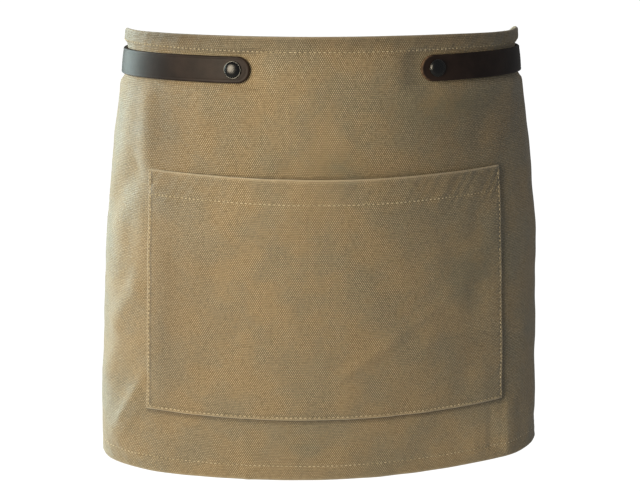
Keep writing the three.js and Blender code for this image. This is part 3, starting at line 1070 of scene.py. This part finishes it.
    def build(self, name: str) -> bpy.types.Object:
        """Makes the closed cloth: front face, back face and rounded edges.

        Args:
            name: Name of the piece.

        Returns:
            The piece.
        """
        arc, z = self.grid()
        tall, wide = arc.shape
        distance = np.minimum.reduce(list(self.distances(arc, z).values()))
        radius = self.hem_wall / 2
        share = np.clip(distance / radius, 0, 1)
        round_off = np.sqrt(np.clip(1 - (1 - share) ** 2, 0, 1))
        placed_column, placed_z = self.rounded(arc, z)
        placed_arc = self.arc_of(placed_column, placed_z)
        face = self.stand(arc, z) + self.relief(arc, z)
        front_out = face - radius * (1 - round_off)
        back_out = face - radius - (self.back_depth(arc, z) - radius) * round_off
        front = self.cloth.point(placed_arc, placed_z, front_out).reshape(-1, 3)
        back = self.cloth.point(placed_arc, placed_z, back_out).reshape(-1, 3)
        faces = np.concatenate([
            Meshes.grid_faces(tall, wide, 0, False),
            Meshes.grid_faces(tall, wide, tall * wide, True),
        ])
        place = np.stack([arc, z], axis=-1).reshape(-1, 2)
        # Paler rubbed edges: real wear of the wax along the folds, and partly a painted highlight where the
        # folded edges catch the light
        rubbed = bell(distance, self.rub_and_highlight_width).ravel()
        # Wax clouds, partly painted shade on the right half and in a hollow of the pocket
        shade = cloud_sum(WAX_AND_PAINTED_SHADE_CLOUDS, arc, z).ravel() + self.wax
        # Lines of painted shadow beside the pocket's edges and along its seams, on the front face only
        lines = sum(line.height(arc, z) for line in self.painted_shadow_lines) / MM
        # Painted shade (+) and painted light (-) on both faces, with a darker band along the top hem
        painted_light_and_shade = cloud_sum(PAINTED_LIGHT_AND_SHADE_CLOUDS, arc, z)
        painted_light_and_shade_faces = np.concatenate([(painted_light_and_shade + lines).ravel(), painted_light_and_shade.ravel()])
        return Meshes.build(
            name,
            np.concatenate([front, back]),
            faces,
            np.concatenate([place, place + self.back_shift]),
            {"rubbed": np.tile(rubbed, 2), "shade": np.tile(shade, 2), "painted_light_and_shade": painted_light_and_shade_faces},
        )


# Clouds in the wax, more olive (+) or more golden (-), partly painted shade where the olive lies on the right
# half and in a hollow on the pocket's right: arc, height, reaches in mm, amount
WAX_AND_PAINTED_SHADE_CLOUDS = (
    (60, -30, 60, 30, 0.25),
    (110, -150, 40, 50, 0.3),
    (-40, -60, 70, 14, 0.12),
    (-20, -215, 60, 40, -0.15),
    (-110, -170, 40, 90, -0.35),
    (-120, -40, 36, 40, -0.3),
    (0, -68, 24, 10, 0.25),
    (100, -26, 44, 12, 0.25),
    (-22, -283, 28, 14, 0.2),
    (-150, -160, 14, 120, -0.25),
    (-196, -100, 22, 60, 0.2),
    (100, -290, 50, 20, -0.1),
    (180, -150, 40, 140, 0.05),
)
# Where the cloth is painted darker (+) or paler (-): painted shade and painted light, and a darker band along
# the top hem, with the same columns: the amount is a share of colour
PAINTED_LIGHT_AND_SHADE_CLOUDS = (
    (-130, 26, 55, 12, 0.6),
    (0, 26, 90, 11, 0.34),
    (120, 26, 70, 12, 0.4),
    (90, -50, 60, 34, 0.12),
    (-205, 20, 28, 14, 0.3),
    (-138, -40, 26, 50, 0.28),
    (-164, -26, 8, 30, 0.14),
    (-190, -40, 9, 14, 0.12),
    (-90, -40, 30, 30, 0.1),
    (110, -40, 45, 40, 0.16),
    (-133, -170, 16, 90, 0.26),
    (-105, -160, 20, 90, 0.1),
    (128, -170, 26, 90, -0.16),
    (112, -148, 14, 13, 0.14),
    (114, -212, 15, 15, 0.16),
    (135, -290, 50, 30, -0.3),
    (185, -170, 30, 140, -0.3),
)
# Lines of painted shadow on the panel along the pocket's edges, and on the pocket along its seams
PANEL_PAINTED_SHADOW_LINES = (
    Fold((-147, -262.4), (141, -262.4), 2.0, 0.5),
    Fold((142.6, -262), (135, -76), 3.2, 0.3),
    Fold((159, -268), (159, -304), 7.0, 0.16),
)
POCKET_PAINTED_SHADOW_LINES = (
    Fold((-144.2, -258), (-144.2, -76), 0.9, 0.35),
    Fold((-143, -257.2), (138, -257.2), 0.9, 0.2),
)


def cloud_sum(clouds: tuple[tuple[float, ...], ...], arc: Array, z: Array) -> Array:
    """Sum of elliptical Gaussians over the cloth.

    Args:
        clouds: Rows of arc, height, reach along and up, and amount.
        arc: Arc lengths.
        z: Heights.

    Returns:
        The sum for each place.
    """
    total = np.zeros(arc.shape)
    for at, height, reach, tall, amount in clouds:
        spread = ((arc / MM - at) / reach) ** 2 + ((z / MM - height) / tall) ** 2
        total = total + amount * np.exp(-spread)
    return total


@dataclass(frozen=True)
class Stitching:
    """Lockstitches along a line on a cloth, each a bead of thread that dips in at both ends."""

    pitch: float = 3.45 * MM
    length: float = 2.3 * MM
    radius: float = 0.34 * MM
    rise: float = 0.16 * MM
    dip: float = 0.34 * MM
    end_share: float = 0.45
    rings: int = 5
    sides: int = 6

    def beads(self, points: Array, outs: Array) -> tuple[Array, Array]:
        """Beads along a polyline.

        Each bead's axis is an arch over its chord, and its radius grows from end_share of the
        thread's own at its ends to the whole with the root of the arch.

        Args:
            points: Array (n, 2, 3) of each stitch's two ends on the surface.
            outs: Array (n, 3) of unit vectors out of the surface.

        Returns:
            Vertices (n * rings * sides, 3) and quads.
        """
        count = len(points)
        t = np.linspace(0, 1, self.rings)
        arch = np.sin(np.pi * t)
        thick = self.radius * (self.end_share + (1 - self.end_share) * arch**0.5)
        chord = points[:, 1] - points[:, 0]
        along = chord / np.linalg.norm(chord, axis=1, keepdims=True)
        side = np.cross(along, outs)
        axis = points[:, None, 0] + t[None, :, None] * chord[:, None]
        axis = axis + outs[:, None] * ((self.rise + self.dip) * arch - self.dip)[None, :, None]
        angle = np.arange(self.sides) * 2 * math.pi / self.sides
        ring = np.cos(angle)[None, :, None] * side[:, None] + np.sin(angle)[None, :, None] * outs[:, None]
        vertices = axis[:, :, None] + thick[None, :, None, None] * ring[:, None]
        number = np.arange(self.rings * self.sides).reshape(self.rings, self.sides)
        number = np.concatenate([number, number[:, :1]], axis=1)
        quads = np.stack([number[:-1, :-1], number[:-1, 1:], number[1:, 1:], number[1:, :-1]], axis=-1)
        quads = quads.reshape(-1, 4)
        ends = [self.cap(0, False), self.cap(self.rings - 1, True)]
        bead = np.concatenate([quads, *ends])[:, ::-1]
        faces = bead[None] + (np.arange(count) * self.rings * self.sides)[:, None, None]
        return vertices.reshape(-1, 3), faces.reshape(-1, 4)

    def cap(self, ring: int, last: bool) -> Array:
        """Two quads that close a ring of six."""
        n = ring * self.sides + np.arange(self.sides)
        quads = np.array([[n[0], n[3], n[2], n[1]], [n[0], n[5], n[4], n[3]]])
        return quads[:, ::-1] if last else quads


@dataclass
class SeamLine:
    """A row of stitches on a sheet, seen from its front or from the panel's back."""

    sheet: HemmedSheet
    start: tuple[float, float]
    end: tuple[float, float]
    behind: float = 0.0

    def stitches(self, stitching: Stitching, shift: float) -> tuple[Array, Array]:
        """Ends and outward directions of the row's stitches, or of its needle holes.

        Args:
            stitching: The thread and its pitch.
            shift: Where each lies in its pitch: 0.5 for a stitch, 0 for a hole.

        Returns:
            Array (n, 2, 3) of ends and array (n, 3) of unit vectors.
        """
        a = np.array(self.start)
        run = np.array(self.end) - a
        total = np.linalg.norm(run)
        count = max(1, round(total / stitching.pitch))
        middle = (np.arange(count) + shift) / count
        half = stitching.length / 2 / total
        share = np.stack([middle - half, middle + half], axis=1)
        arc = a[0] + share * run[0]
        z = a[1] + share * run[1]
        if self.behind > 0:
            base = self.sheet.cloth.point(self.sheet.arc_of(arc, z), z, np.full(arc.shape, -self.behind))
        else:
            base = self.sheet.face_point(arc, z)
        outs = self.outward(arc.mean(axis=1), z.mean(axis=1))
        return base, -outs if self.behind > 0 else outs

    def outward(self, arc: Array, z: Array) -> Array:
        """Unit vectors out of the sheet, from the differences of its points within a reach."""
        reach = 1.5 * MM
        across = self.sheet.face_point(arc + reach, z) - self.sheet.face_point(arc - reach, z)
        up = self.sheet.face_point(arc, z + reach) - self.sheet.face_point(arc, z - reach)
        out = np.cross(across, up)
        return out / np.linalg.norm(out, axis=1, keepdims=True)


# A needle hole is a short bead in the colour of painted shadow, sunk between two stitches
NEEDLE_HOLE = Stitching(length=0.9 * MM, radius=0.36 * MM, rise=-0.16 * MM, dip=0.3 * MM, rings=3)


def sew(name: str, lines: list[SeamLine], stitching: Stitching) -> bpy.types.Object:
    """Makes one piece of all the stitches and needle holes of some seam lines.

    Args:
        name: Name of the piece.
        lines: The seam lines.
        stitching: The thread and its pitch.

    Returns:
        The piece, with the attribute hole: 1 in the needle holes, which are beads of painted shadow.
    """
    points = []
    faces = []
    holes = []
    for shape, shift in ((stitching, 0.5), (NEEDLE_HOLE, 0.0)):
        rows = [line.stitches(shape, shift) for line in lines]
        ends = np.concatenate([row[0] for row in rows])
        outs = np.concatenate([row[1] for row in rows])
        vertices, quads = shape.beads(ends, outs)
        faces.append(quads + sum(len(part) for part in points))
        points.append(vertices)
        holes.append(np.full(len(vertices), float(shift == 0)))
    marks = {"hole": np.concatenate(holes)}
    return Meshes.build(name, np.concatenate(points), np.concatenate(faces), None, marks)


@dataclass
class ApronPanel:
    """The apron's panel, hemmed all round with one row of stitches on each hem.

    The top row rises by seam_rise from level_from to the left edge, as it was sewn.
    """

    cloth: Cloth
    top_hem: float = 12.4 * MM
    bottom_hem: float = 13.4 * MM
    side_hem: float = 10 * MM
    seam_inset: float = 1.4 * MM
    seam_end: float = 1 * MM
    seam_rise: float = 3 * MM
    level_from: float = -70 * MM

    def sheet(self) -> HemmedSheet:
        """The panel's cloth."""
        half = self.cloth.width / 2
        folds = {
            Edge.TOP: self.top_hem,
            Edge.BOTTOM: self.bottom_hem,
            Edge.LEFT: self.side_hem,
            Edge.RIGHT: self.side_hem,
        }
        seams = {edge: fold - self.seam_inset for edge, fold in folds.items()}
        body = self.cloth.body
        return HemmedSheet(self.cloth, -half, half, -body.drop, body.rise, folds, seams, PANEL_PAINTED_SHADOW_LINES)

    def build(self, canvas: bpy.types.Material, thread: bpy.types.Material) -> None:
        """Makes the panel and its stitches.

        Args:
            canvas: Material of the cloth.
            thread: Material of the stitches.
        """
        sheet = self.sheet()
        panel = sheet.build("canvas_panel")
        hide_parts("apron_panel")
        Meshes.finish(panel, canvas, "canvas")
        left = sheet.left + sheet.seams[Edge.LEFT]
        right = sheet.right - sheet.seams[Edge.RIGHT]
        low = sheet.bottom + sheet.seams[Edge.BOTTOM]
        high = sheet.top - sheet.seams[Edge.TOP]
        first = sheet.left + self.seam_end
        last = sheet.right - self.seam_end
        rows = (
            ((first, high + self.seam_rise), (self.level_from, high)),
            ((self.level_from, high), (last, high)),
            ((first, low), (last, low)),
            ((left, low), (left, high)),
            ((right, low), (right, high)),
        )
        sides = (0.0, sheet.hem_wall)
        lines = [SeamLine(sheet, start, end, behind) for behind in sides for start, end in rows]
        stitches = sew("panel_stitches", lines, Stitching())
        Meshes.finish(stitches, thread, "canvas")


@dataclass
class PocketSheet(HemmedSheet):
    """A sheet that stands off the panel: nothing at its seams and most at the mouth's middle."""

    gape: float = 8 * MM
    taper: float = 5 * MM
    lean: float = -2.5 * MM

    def shares(self, column: Array, z: Array) -> tuple[Array, Array]:
        """Shares of each place across the half width, from -1 to 1, and up from foot to mouth."""
        half = (self.right - self.left) / 2
        across = np.clip((column - self.left) / half - 1, -1, 1)
        up = np.clip((z - self.bottom) / (self.top - self.bottom), 0, 1)
        return across, up

    def arc_of(self, column: Array, z: Array) -> Array:
        """Arc length of a column: both sides draw in by taper and lean towards the mouth."""
        across, up = self.shares(column, z)
        return column + (self.lean - self.taper * across) * up

    def stand(self, arc: Array, z: Array) -> Array:
        """Stand-off plus gape * (1 - across^2)^2 * ramp(up) * up."""
        across, up = self.shares(arc, z)
        return self.stand_off + self.gape * (1 - across**2) ** 2 * smoothstep(up, 0, 1) * up


@dataclass
class PatchPocket:
    """The wide patch pocket, topstitched on three sides, with a deep hem at its mouth."""

    cloth: Cloth
    width: float = 289 * MM
    offset: float = -3.5 * MM
    height: float = 187 * MM
    below_strap: float = 74 * MM
    mouth_hem: float = 20 * MM
    mouth_seam: float = 18.5 * MM
    side_fold: float = 9 * MM
    side_seam: float = 2.2 * MM
    foot_seam: float = 2.4 * MM
    seam_end: float = 1 * MM
    panel_wall: float = 1.2 * MM
    step: float = 1.8 * MM
    corner: float = 1.6 * MM

    def sheet(self) -> PocketSheet:
        """The pocket's cloth."""
        folds = {
            Edge.TOP: self.mouth_hem,
            Edge.BOTTOM: self.side_fold,
            Edge.LEFT: self.side_fold,
            Edge.RIGHT: self.side_fold,
        }
        seams = {
            Edge.TOP: self.mouth_seam,
            Edge.BOTTOM: self.foot_seam,
            Edge.LEFT: self.side_seam,
            Edge.RIGHT: self.side_seam,
        }
        top = -self.below_strap
        return PocketSheet(
            self.cloth,
            self.offset - self.width / 2,
            self.offset + self.width / 2,
            top - self.height,
            top,
            folds,
            seams,
            POCKET_PAINTED_SHADOW_LINES,
            stand_off=CLEARANCE + PocketSheet.hem_wall,
            step=self.step,
            corner=self.corner,
        )

    def build(self, canvas: bpy.types.Material, thread: bpy.types.Material) -> None:
        """Makes the pocket and its stitches.

        Args:
            canvas: Material of the cloth.
            thread: Material of the stitches.
        """
        sheet = self.sheet()
        pocket = sheet.build("canvas_pocket")
        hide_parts("front_pocket")
        Meshes.finish(pocket, canvas, "canvas")
        left = sheet.left + self.side_seam
        right = sheet.right - self.side_seam
        low = sheet.bottom + self.foot_seam
        hem = sheet.top - self.mouth_seam
        last = sheet.top - self.seam_end
        rows = (
            ((left, low), (right, low)),
            ((left, low), (left, last)),
            ((right, low), (right, last)),
        )
        sides = (0.0, self.panel_wall)
        lines = [SeamLine(sheet, (left, hem), (right, hem))]
        lines += [SeamLine(sheet, start, end, behind) for behind in sides for start, end in rows]
        stitches = sew("pocket_stitches", lines, Stitching())
        Meshes.finish(stitches, thread, "canvas")


@dataclass
class StrapHalf:
    """One half of the leather strap, from its round tip at a rivet to its end past the back.

    The tip's cut edge is tan by a share: raw leather, full on the right tip, which faces the lamps, and
    faint on the left tip, which is in shade; that difference is painted light and shade.
    """

    cloth: Cloth
    side: int
    overlap_lift: float
    tip_tan_share: float
    width: float = 19 * MM
    thickness: float = 3 * MM
    tip_arc: float = 63.5 * MM
    overlap: float = 70 * MM
    ramp: float = 45 * MM
    back_dip: float = 6 * MM
    edge_radius: float = 1.1 * MM
    crown: float = 0.25 * MM
    crease_inset: float = 2.1 * MM
    crease_depth: float = 0.16 * MM
    crease_width: float = 0.45 * MM
    cut_width: float = 0.75 * MM
    tip_stations: int = 16
    back_shift: float = 0.41
    step: float = 2.4 * MM

    def centre_height(self, arc: Array) -> Array:
        """Height of the strap's centre line: 0 on the cloth, down by back_dip behind."""
        back = float(self.cloth.body.half_length(np.array(0.0)))
        from_front = np.minimum(np.abs(arc), 2 * back - np.abs(arc))
        return -self.back_dip * smoothstep(from_front, self.cloth.width / 2, back)

    def lift(self, arc: Array) -> Array:
        """Extra stand-off where this half lies on the other one."""
        start = float(self.cloth.body.half_length(np.array(0.0))) - self.overlap / 2
        return self.overlap_lift * smoothstep(arc, start - self.ramp, start - self.thickness)

    def surface(self, arc: Array, across: Array, outward: Array) -> Array:
        """Points of the strap at arcs, distances across it and stand-offs."""
        z = self.centre_height(arc) + across
        place, normal = self.cloth.body.place(self.side * arc, z)
        out = outward - self.cloth.press(arc, 0 * arc) + self.lift(arc)
        return place + normal * out[..., None]

    def build(self, name: str, node: str, leather: bpy.types.Material) -> None:
        """Makes the half strap: both faces between rounded edges, and a half-round tip.

        Args:
            name: Name of the piece.
            node: The CAD node that it replaces.
            leather: Its material.
        """
        radius = self.width / 2
        end = float(self.cloth.body.half_length(np.array(0.0))) + self.overlap / 2
        round_end = self.tip_arc + radius
        quarter = np.linspace(0, math.pi / 2, self.tip_stations)
        round_part = self.tip_arc + radius * (1 - np.cos(quarter))
        straight = np.linspace(round_end, end, math.ceil((end - round_end) / self.step))
        square_end = end - self.edge_radius * np.array([0.1, 0.3, 0.6, 1.0])
        arcs = np.unique(np.concatenate([round_part, straight, square_end]).round(7))
        edge_shares = 1 - np.array([0, 0.01, 0.03, 0.065, 0.115, 0.17, 0.22, 0.27, 0.36, 0.5, 0.75])
        shares = np.unique(np.concatenate([-edge_shares, [0.0], edge_shares]).round(7))
        arc, share = np.meshgrid(arcs, shares)
        from_tip = np.clip(arc - self.tip_arc, 0, radius)
        half_width = np.sqrt(np.clip(radius**2 - (radius - from_tip) ** 2, 0, None))
        across = share * half_width
        from_centre = np.where(arc < round_end, np.hypot(arc - round_end, across), np.abs(across))
        distance = np.clip(np.minimum(radius - from_centre, end - arc), 0, None)
        bend = np.clip(distance / self.edge_radius, 0, 1)
        edge = self.edge_radius * (1 - np.sqrt(np.clip(1 - (1 - bend) ** 2, 0, 1)))
        soft = self.crown * smoothstep(distance, 0, radius)
        crease = self.crease_depth * bell(distance - self.crease_inset, self.crease_width)
        front = CLEARANCE + self.thickness - self.crown - edge + soft - crease
        back = CLEARANCE + edge
        tall, wide = arc.shape
        flip = self.side < 0
        faces = [
            Meshes.grid_faces(tall, wide, 0, flip),
            Meshes.grid_faces(tall, wide, tall * wide, not flip),
            self.wall(tall, wide, flip),
        ]
        points = np.concatenate([
            self.surface(arc, across, front).reshape(-1, 3),
            self.surface(arc, across, back).reshape(-1, 3),
        ])
        place = np.stack([arc * self.side, across], axis=-1).reshape(-1, 2)
        near_tip = 1 - smoothstep(arc - self.tip_arc, 0.5 * radius, 1.1 * radius)
        # Tan cut edge near the tip, by its share of raw edge and painted light
        cut = (bell(distance, self.cut_width) * self.tip_tan_share * near_tip).ravel()
        strap = Meshes.build(
            name,
            points,
            np.concatenate(faces),
            np.concatenate([place, place + self.back_shift]),
            {"cut_edge": np.tile(cut, 2)},
        )
        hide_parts(node)
        Meshes.finish(strap, leather, "strap_leather")

    @staticmethod
    def wall(tall: int, wide: int, flip: bool) -> Array:
        """Quads between the borders of the two faces."""
        number = np.arange(tall * wide).reshape(tall, wide)
        loop = np.concatenate([number[0, :-1], number[:-1, -1], number[-1, :0:-1], number[:0:-1, 0]])
        ahead = np.roll(loop, -1)
        behind = tall * wide
        quads = np.stack([loop, loop + behind, ahead + behind, ahead], axis=1)
        return quads[:, ::-1] if flip else quads


@dataclass
class Fastener:
    """A turned rivet or stud: a profile of radii and heights about the axis out of the cloth."""

    washer: float
    back: float
    post: float
    seat: float
    head: float
    head_height: float
    washer_height: float = 1.3 * MM
    washer_flat: float = 0.7
    washer_edge: float = 0.4
    rim_share: float = 0.95
    rim_width: float = 0.035
    segments: int = 64
    cuts: int = 3
    cut_share: float = 0.22

    def outline(self, head_shape: tuple[tuple[float, float], ...]) -> Array:
        """Profile from the washer's middle over the post to the head's middle.

        Each cut replaces every corner by two points, at cut_share of the lines beside it.

        Args:
            head_shape: Shares of the head's radius and height, from its rim to its middle.

        Returns:
            Array (n, 2) of radii and heights, its corners cut round.
        """
        washer = self.washer / 2
        low = self.back - self.washer_height
        points = [
            (0, low),
            (self.washer_flat * washer, low),
            (washer, low + self.washer_edge * self.washer_height),
            (washer, self.back),
            (self.post / 2, self.back),
            (self.post / 2, self.seat),
        ]
        points += [(r * self.head / 2, self.seat + h * self.head_height) for r, h in head_shape]
        line = np.array(points, dtype=float)
        for _ in range(self.cuts):
            run = line[1:] - line[:-1]
            a = line[:-1] + self.cut_share * run
            b = line[:-1] + (1 - self.cut_share) * run
            line = np.concatenate([line[:1], np.stack([a, b], axis=1).reshape(-1, 2), line[-1:]])
        return line

    def build(
        self,
        name: str,
        node: str,
        head_shape: tuple[tuple[float, float], ...],
        axes: tuple[Array, Array, Array, Array],
        metal: bpy.types.Material,
    ) -> None:
        """Turns the profile about its axis.

        Args:
            name: Name of the piece.
            node: The CAD node that it replaces.
            head_shape: Shares of the head's radius and height.
            axes: Seat, and the unit vectors along, up and out.
            metal: Its material.
        """
        line = self.outline(head_shape)
        place, along, up, out = axes
        angle = np.arange(self.segments) * 2 * math.pi / self.segments
        spoke = np.cos(angle)[:, None] * along + np.sin(angle)[:, None] * up
        points = place + line[:, 0, None, None] * spoke[None] + line[:, 1, None, None] * out
        faces = Meshes.grid_faces(len(line), self.segments, 0, False, closed=True)
        share = line[:, 0] / (self.head / 2)
        on_head = line[:, 1] > self.seat + 0.3 * self.head_height
        rim = bell(share - self.rim_share, self.rim_width) * on_head
        marks = {"rim": np.repeat(rim, self.segments)}
        piece = Meshes.build(name, points.reshape(-1, 3), faces, None, marks)
        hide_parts(node)
        Meshes.finish(piece, metal, "rivet_metal")


# Profiles of the heads, from the rim to the middle: shares of the radius and of the height
CAP_SHAPE = (
    (1, 0),
    (1, 0.22),
    (0.97, 0.34),
    (0.93, 0.36),
    (0.9, 0.32),
    (0.84, 0.48),
    (0.7, 0.72),
    (0.48, 0.9),
    (0.24, 0.98),
    (0, 1),
)
STUD_SHAPE = ((1, 0), (1, 0.55), (0.93, 0.88), (0.82, 1), (0.4, 1), (0, 1))


@dataclass
class StrapSet:
    """The strap's two halves with their rivets and the stud behind."""

    cloth: Cloth
    rivet_arc: float = 76 * MM
    strap_thickness: float = 3 * MM
    cap_diameter: float = 12.7 * MM
    cap_height: float = 2.6 * MM
    cloth_wall: float = 1.2 * MM
    # Tan of the tips' cut edges: raw leather, and its being full on the lit right tip and faint on the shaded
    # left tip is painted light and shade
    left_tip_tan_shaded: float = 0.1
    right_tip_tan_lit: float = 1.0

    def build(self, leather: bpy.types.Material, metal: bpy.types.Material) -> None:
        """Makes the straps and the fasteners.

        Args:
            leather: Material of the straps.
            metal: Material of the fasteners.
        """
        lift = self.strap_thickness + CLEARANCE
        left = StrapHalf(self.cloth, -1, lift, self.left_tip_tan_shaded)
        right = StrapHalf(self.cloth, 1, 0.0, self.right_tip_tan_lit)
        left.build("leather_strap_left", "strap_left", leather)
        right.build("leather_strap_right", "strap_right", leather)
        rivet = Fastener(
            washer=10 * MM,
            back=-self.cloth_wall - CLEARANCE,
            post=4 * MM,
            seat=self.strap_thickness + 1.2 * CLEARANCE,
            head=self.cap_diameter,
            head_height=self.cap_height,
        )
        for name, side in (("rivet_left", -1), ("rivet_right", 1)):
            axes = self.cloth.frame_at(side * self.rivet_arc, 0.0)
            rivet.build(f"capped_{name}", name, CAP_SHAPE, axes, metal)
        back = float(self.cloth.body.half_length(np.array(0.0)))
        stud = Fastener(
            washer=12 * MM,
            back=0.0,
            post=4.5 * MM,
            seat=CLEARANCE + self.strap_thickness + lift + CLEARANCE,
            head=12 * MM,
            head_height=2.2 * MM,
        )
        axes = self.cloth.frame_at(back, -left.back_dip)
        stud.build("domed_back_stud", "back_stud", STUD_SHAPE, axes, metal)


@dataclass(frozen=True)
class Softbox:
    """A rectangular light of some watts, at a place, that faces a target."""

    name: str
    place: Colour
    target: Colour
    size: tuple[float, float]
    power: float
    tint: Colour

    def build(self) -> None:
        """Adds the light to the scene."""
        data = bpy.data.lights.new(self.name, "AREA")
        data.shape = "RECTANGLE"
        data.size, data.size_y = self.size
        data.energy = self.power
        data.color = self.tint
        light = bpy.data.objects.new(self.name, data)
        aim = np.array(self.target) - np.array(self.place)
        heading = math.atan2(aim[0], -aim[1])
        tilt = math.acos(-aim[2] / np.linalg.norm(aim))
        light.location = self.place
        light.rotation_euler = (tilt, 0, heading + math.pi)
        bpy.context.scene.collection.objects.link(light)


SOFTBOXES = (
    Softbox("key", (-1.35, 0.9, 0.15), (-0.1, 0, -0.14), (1.0, 1.6), 40, (0.78, 0.97, 0.95)),
    Softbox("front", (-1.0, -1.15, 0.2), (0, -0.1, -0.16), (0.8, 1.0), 26, (1.0, 0.87, 0.66)),
)


@dataclass
class Studio:
    """Camera, lights and a pale floor."""

    camera_place: tuple[float, float, float] = (-0.1098, -1.0945, 0.1035)
    camera_pitch: float = 0.226
    camera_heading: float = -0.098
    lens: float = 79.75
    sensor: float = 36.0
    floor_height: float = -1.0
    floor_size: float = 60.0
    floor_colour: Colour = (0.2, 0.2, 0.2)
    floor_roughness: float = 0.9
    view_length: float = 100.0
    backdrop: Colour = (1.0, 1.0, 1.0)
    ambient: float = 0.2
    floor_glow: float = 0.15

    def camera(self) -> None:
        """Sets the camera to the photograph's viewing angle."""
        data = bpy.data.cameras.new("camera")
        data.lens = self.lens
        data.sensor_width = self.sensor
        data.clip_end = self.view_length
        camera = bpy.data.objects.new("camera", data)
        camera.location = self.camera_place
        camera.rotation_euler = (math.pi / 2 - self.camera_pitch, 0, self.camera_heading)
        bpy.context.scene.collection.objects.link(camera)
        bpy.context.scene.camera = camera

    def build(self) -> None:
        """Makes the camera, the lights, the backdrop and the floor."""
        self.camera()
        for softbox in SOFTBOXES:
            softbox.build()
        self.world()
        self.floor()

    def world(self) -> None:
        """A white backdrop that lights the apron only faintly."""
        world = bpy.data.worlds.new("studio")
        world.use_nodes = True
        bpy.context.scene.world = world
        nodes = Nodes(world.node_tree)
        background = world.node_tree.nodes["Background"]
        path = nodes.add("ShaderNodeLightPath")
        seen = path.outputs["Is Camera Ray"]
        nodes.put(background.inputs["Color"], (*self.backdrop, 1.0))
        strength = nodes.add("ShaderNodeMapRange", n0=seen, n3=self.ambient, n4=1.0)
        nodes.put(background.inputs["Strength"], strength.outputs[0])

    def floor(self) -> None:
        """A plain pale floor, a metre below the waist."""
        half = self.floor_size / 2
        points = np.array([(-half, -half), (half, -half), (half, half), (-half, half)])
        vertices = np.concatenate([points, np.full((4, 1), self.floor_height)], axis=1)
        floor = Meshes.build("floor", vertices, np.array([[0, 1, 2, 3]]))
        material, nodes, shader = new_material("pale_floor")
        shader.inputs["Base Color"].default_value = (*self.floor_colour, 1)
        shader.inputs["Roughness"].default_value = self.floor_roughness
        shader.inputs["Emission Color"].default_value = (*self.backdrop, 1)
        seen = nodes.add("ShaderNodeLightPath").outputs["Is Camera Ray"]
        glow = nodes.add("ShaderNodeMapRange", n0=seen, n3=self.floor_glow, n4=1.0)
        nodes.put(shader.inputs["Emission Strength"], glow.outputs[0])
        floor.data.materials.append(material)


def main() -> None:
    """Builds the studio and the apron, class by class."""
    logging.basicConfig(level=logging.INFO, format="%(name)s: %(message)s")
    bpy.context.scene.view_settings.view_transform = "Standard"
    Studio().build()
    groups = Groups(plain_weave_group(), patina_group())
    canvas = WaxedCanvas().material("waxed_canvas", groups)
    thread = SewingThread().material("tan_thread", groups)
    leather = StrapLeather().material("dark_leather", groups)
    metal = Gunmetal().material("gunmetal", groups)
    cloth = Cloth(BodyForm())
    ApronPanel(cloth).build(canvas, thread)
    PatchPocket(cloth).build(canvas, thread)
    StrapSet(cloth).build(leather, metal)


if __name__ == "__main__":
    main()
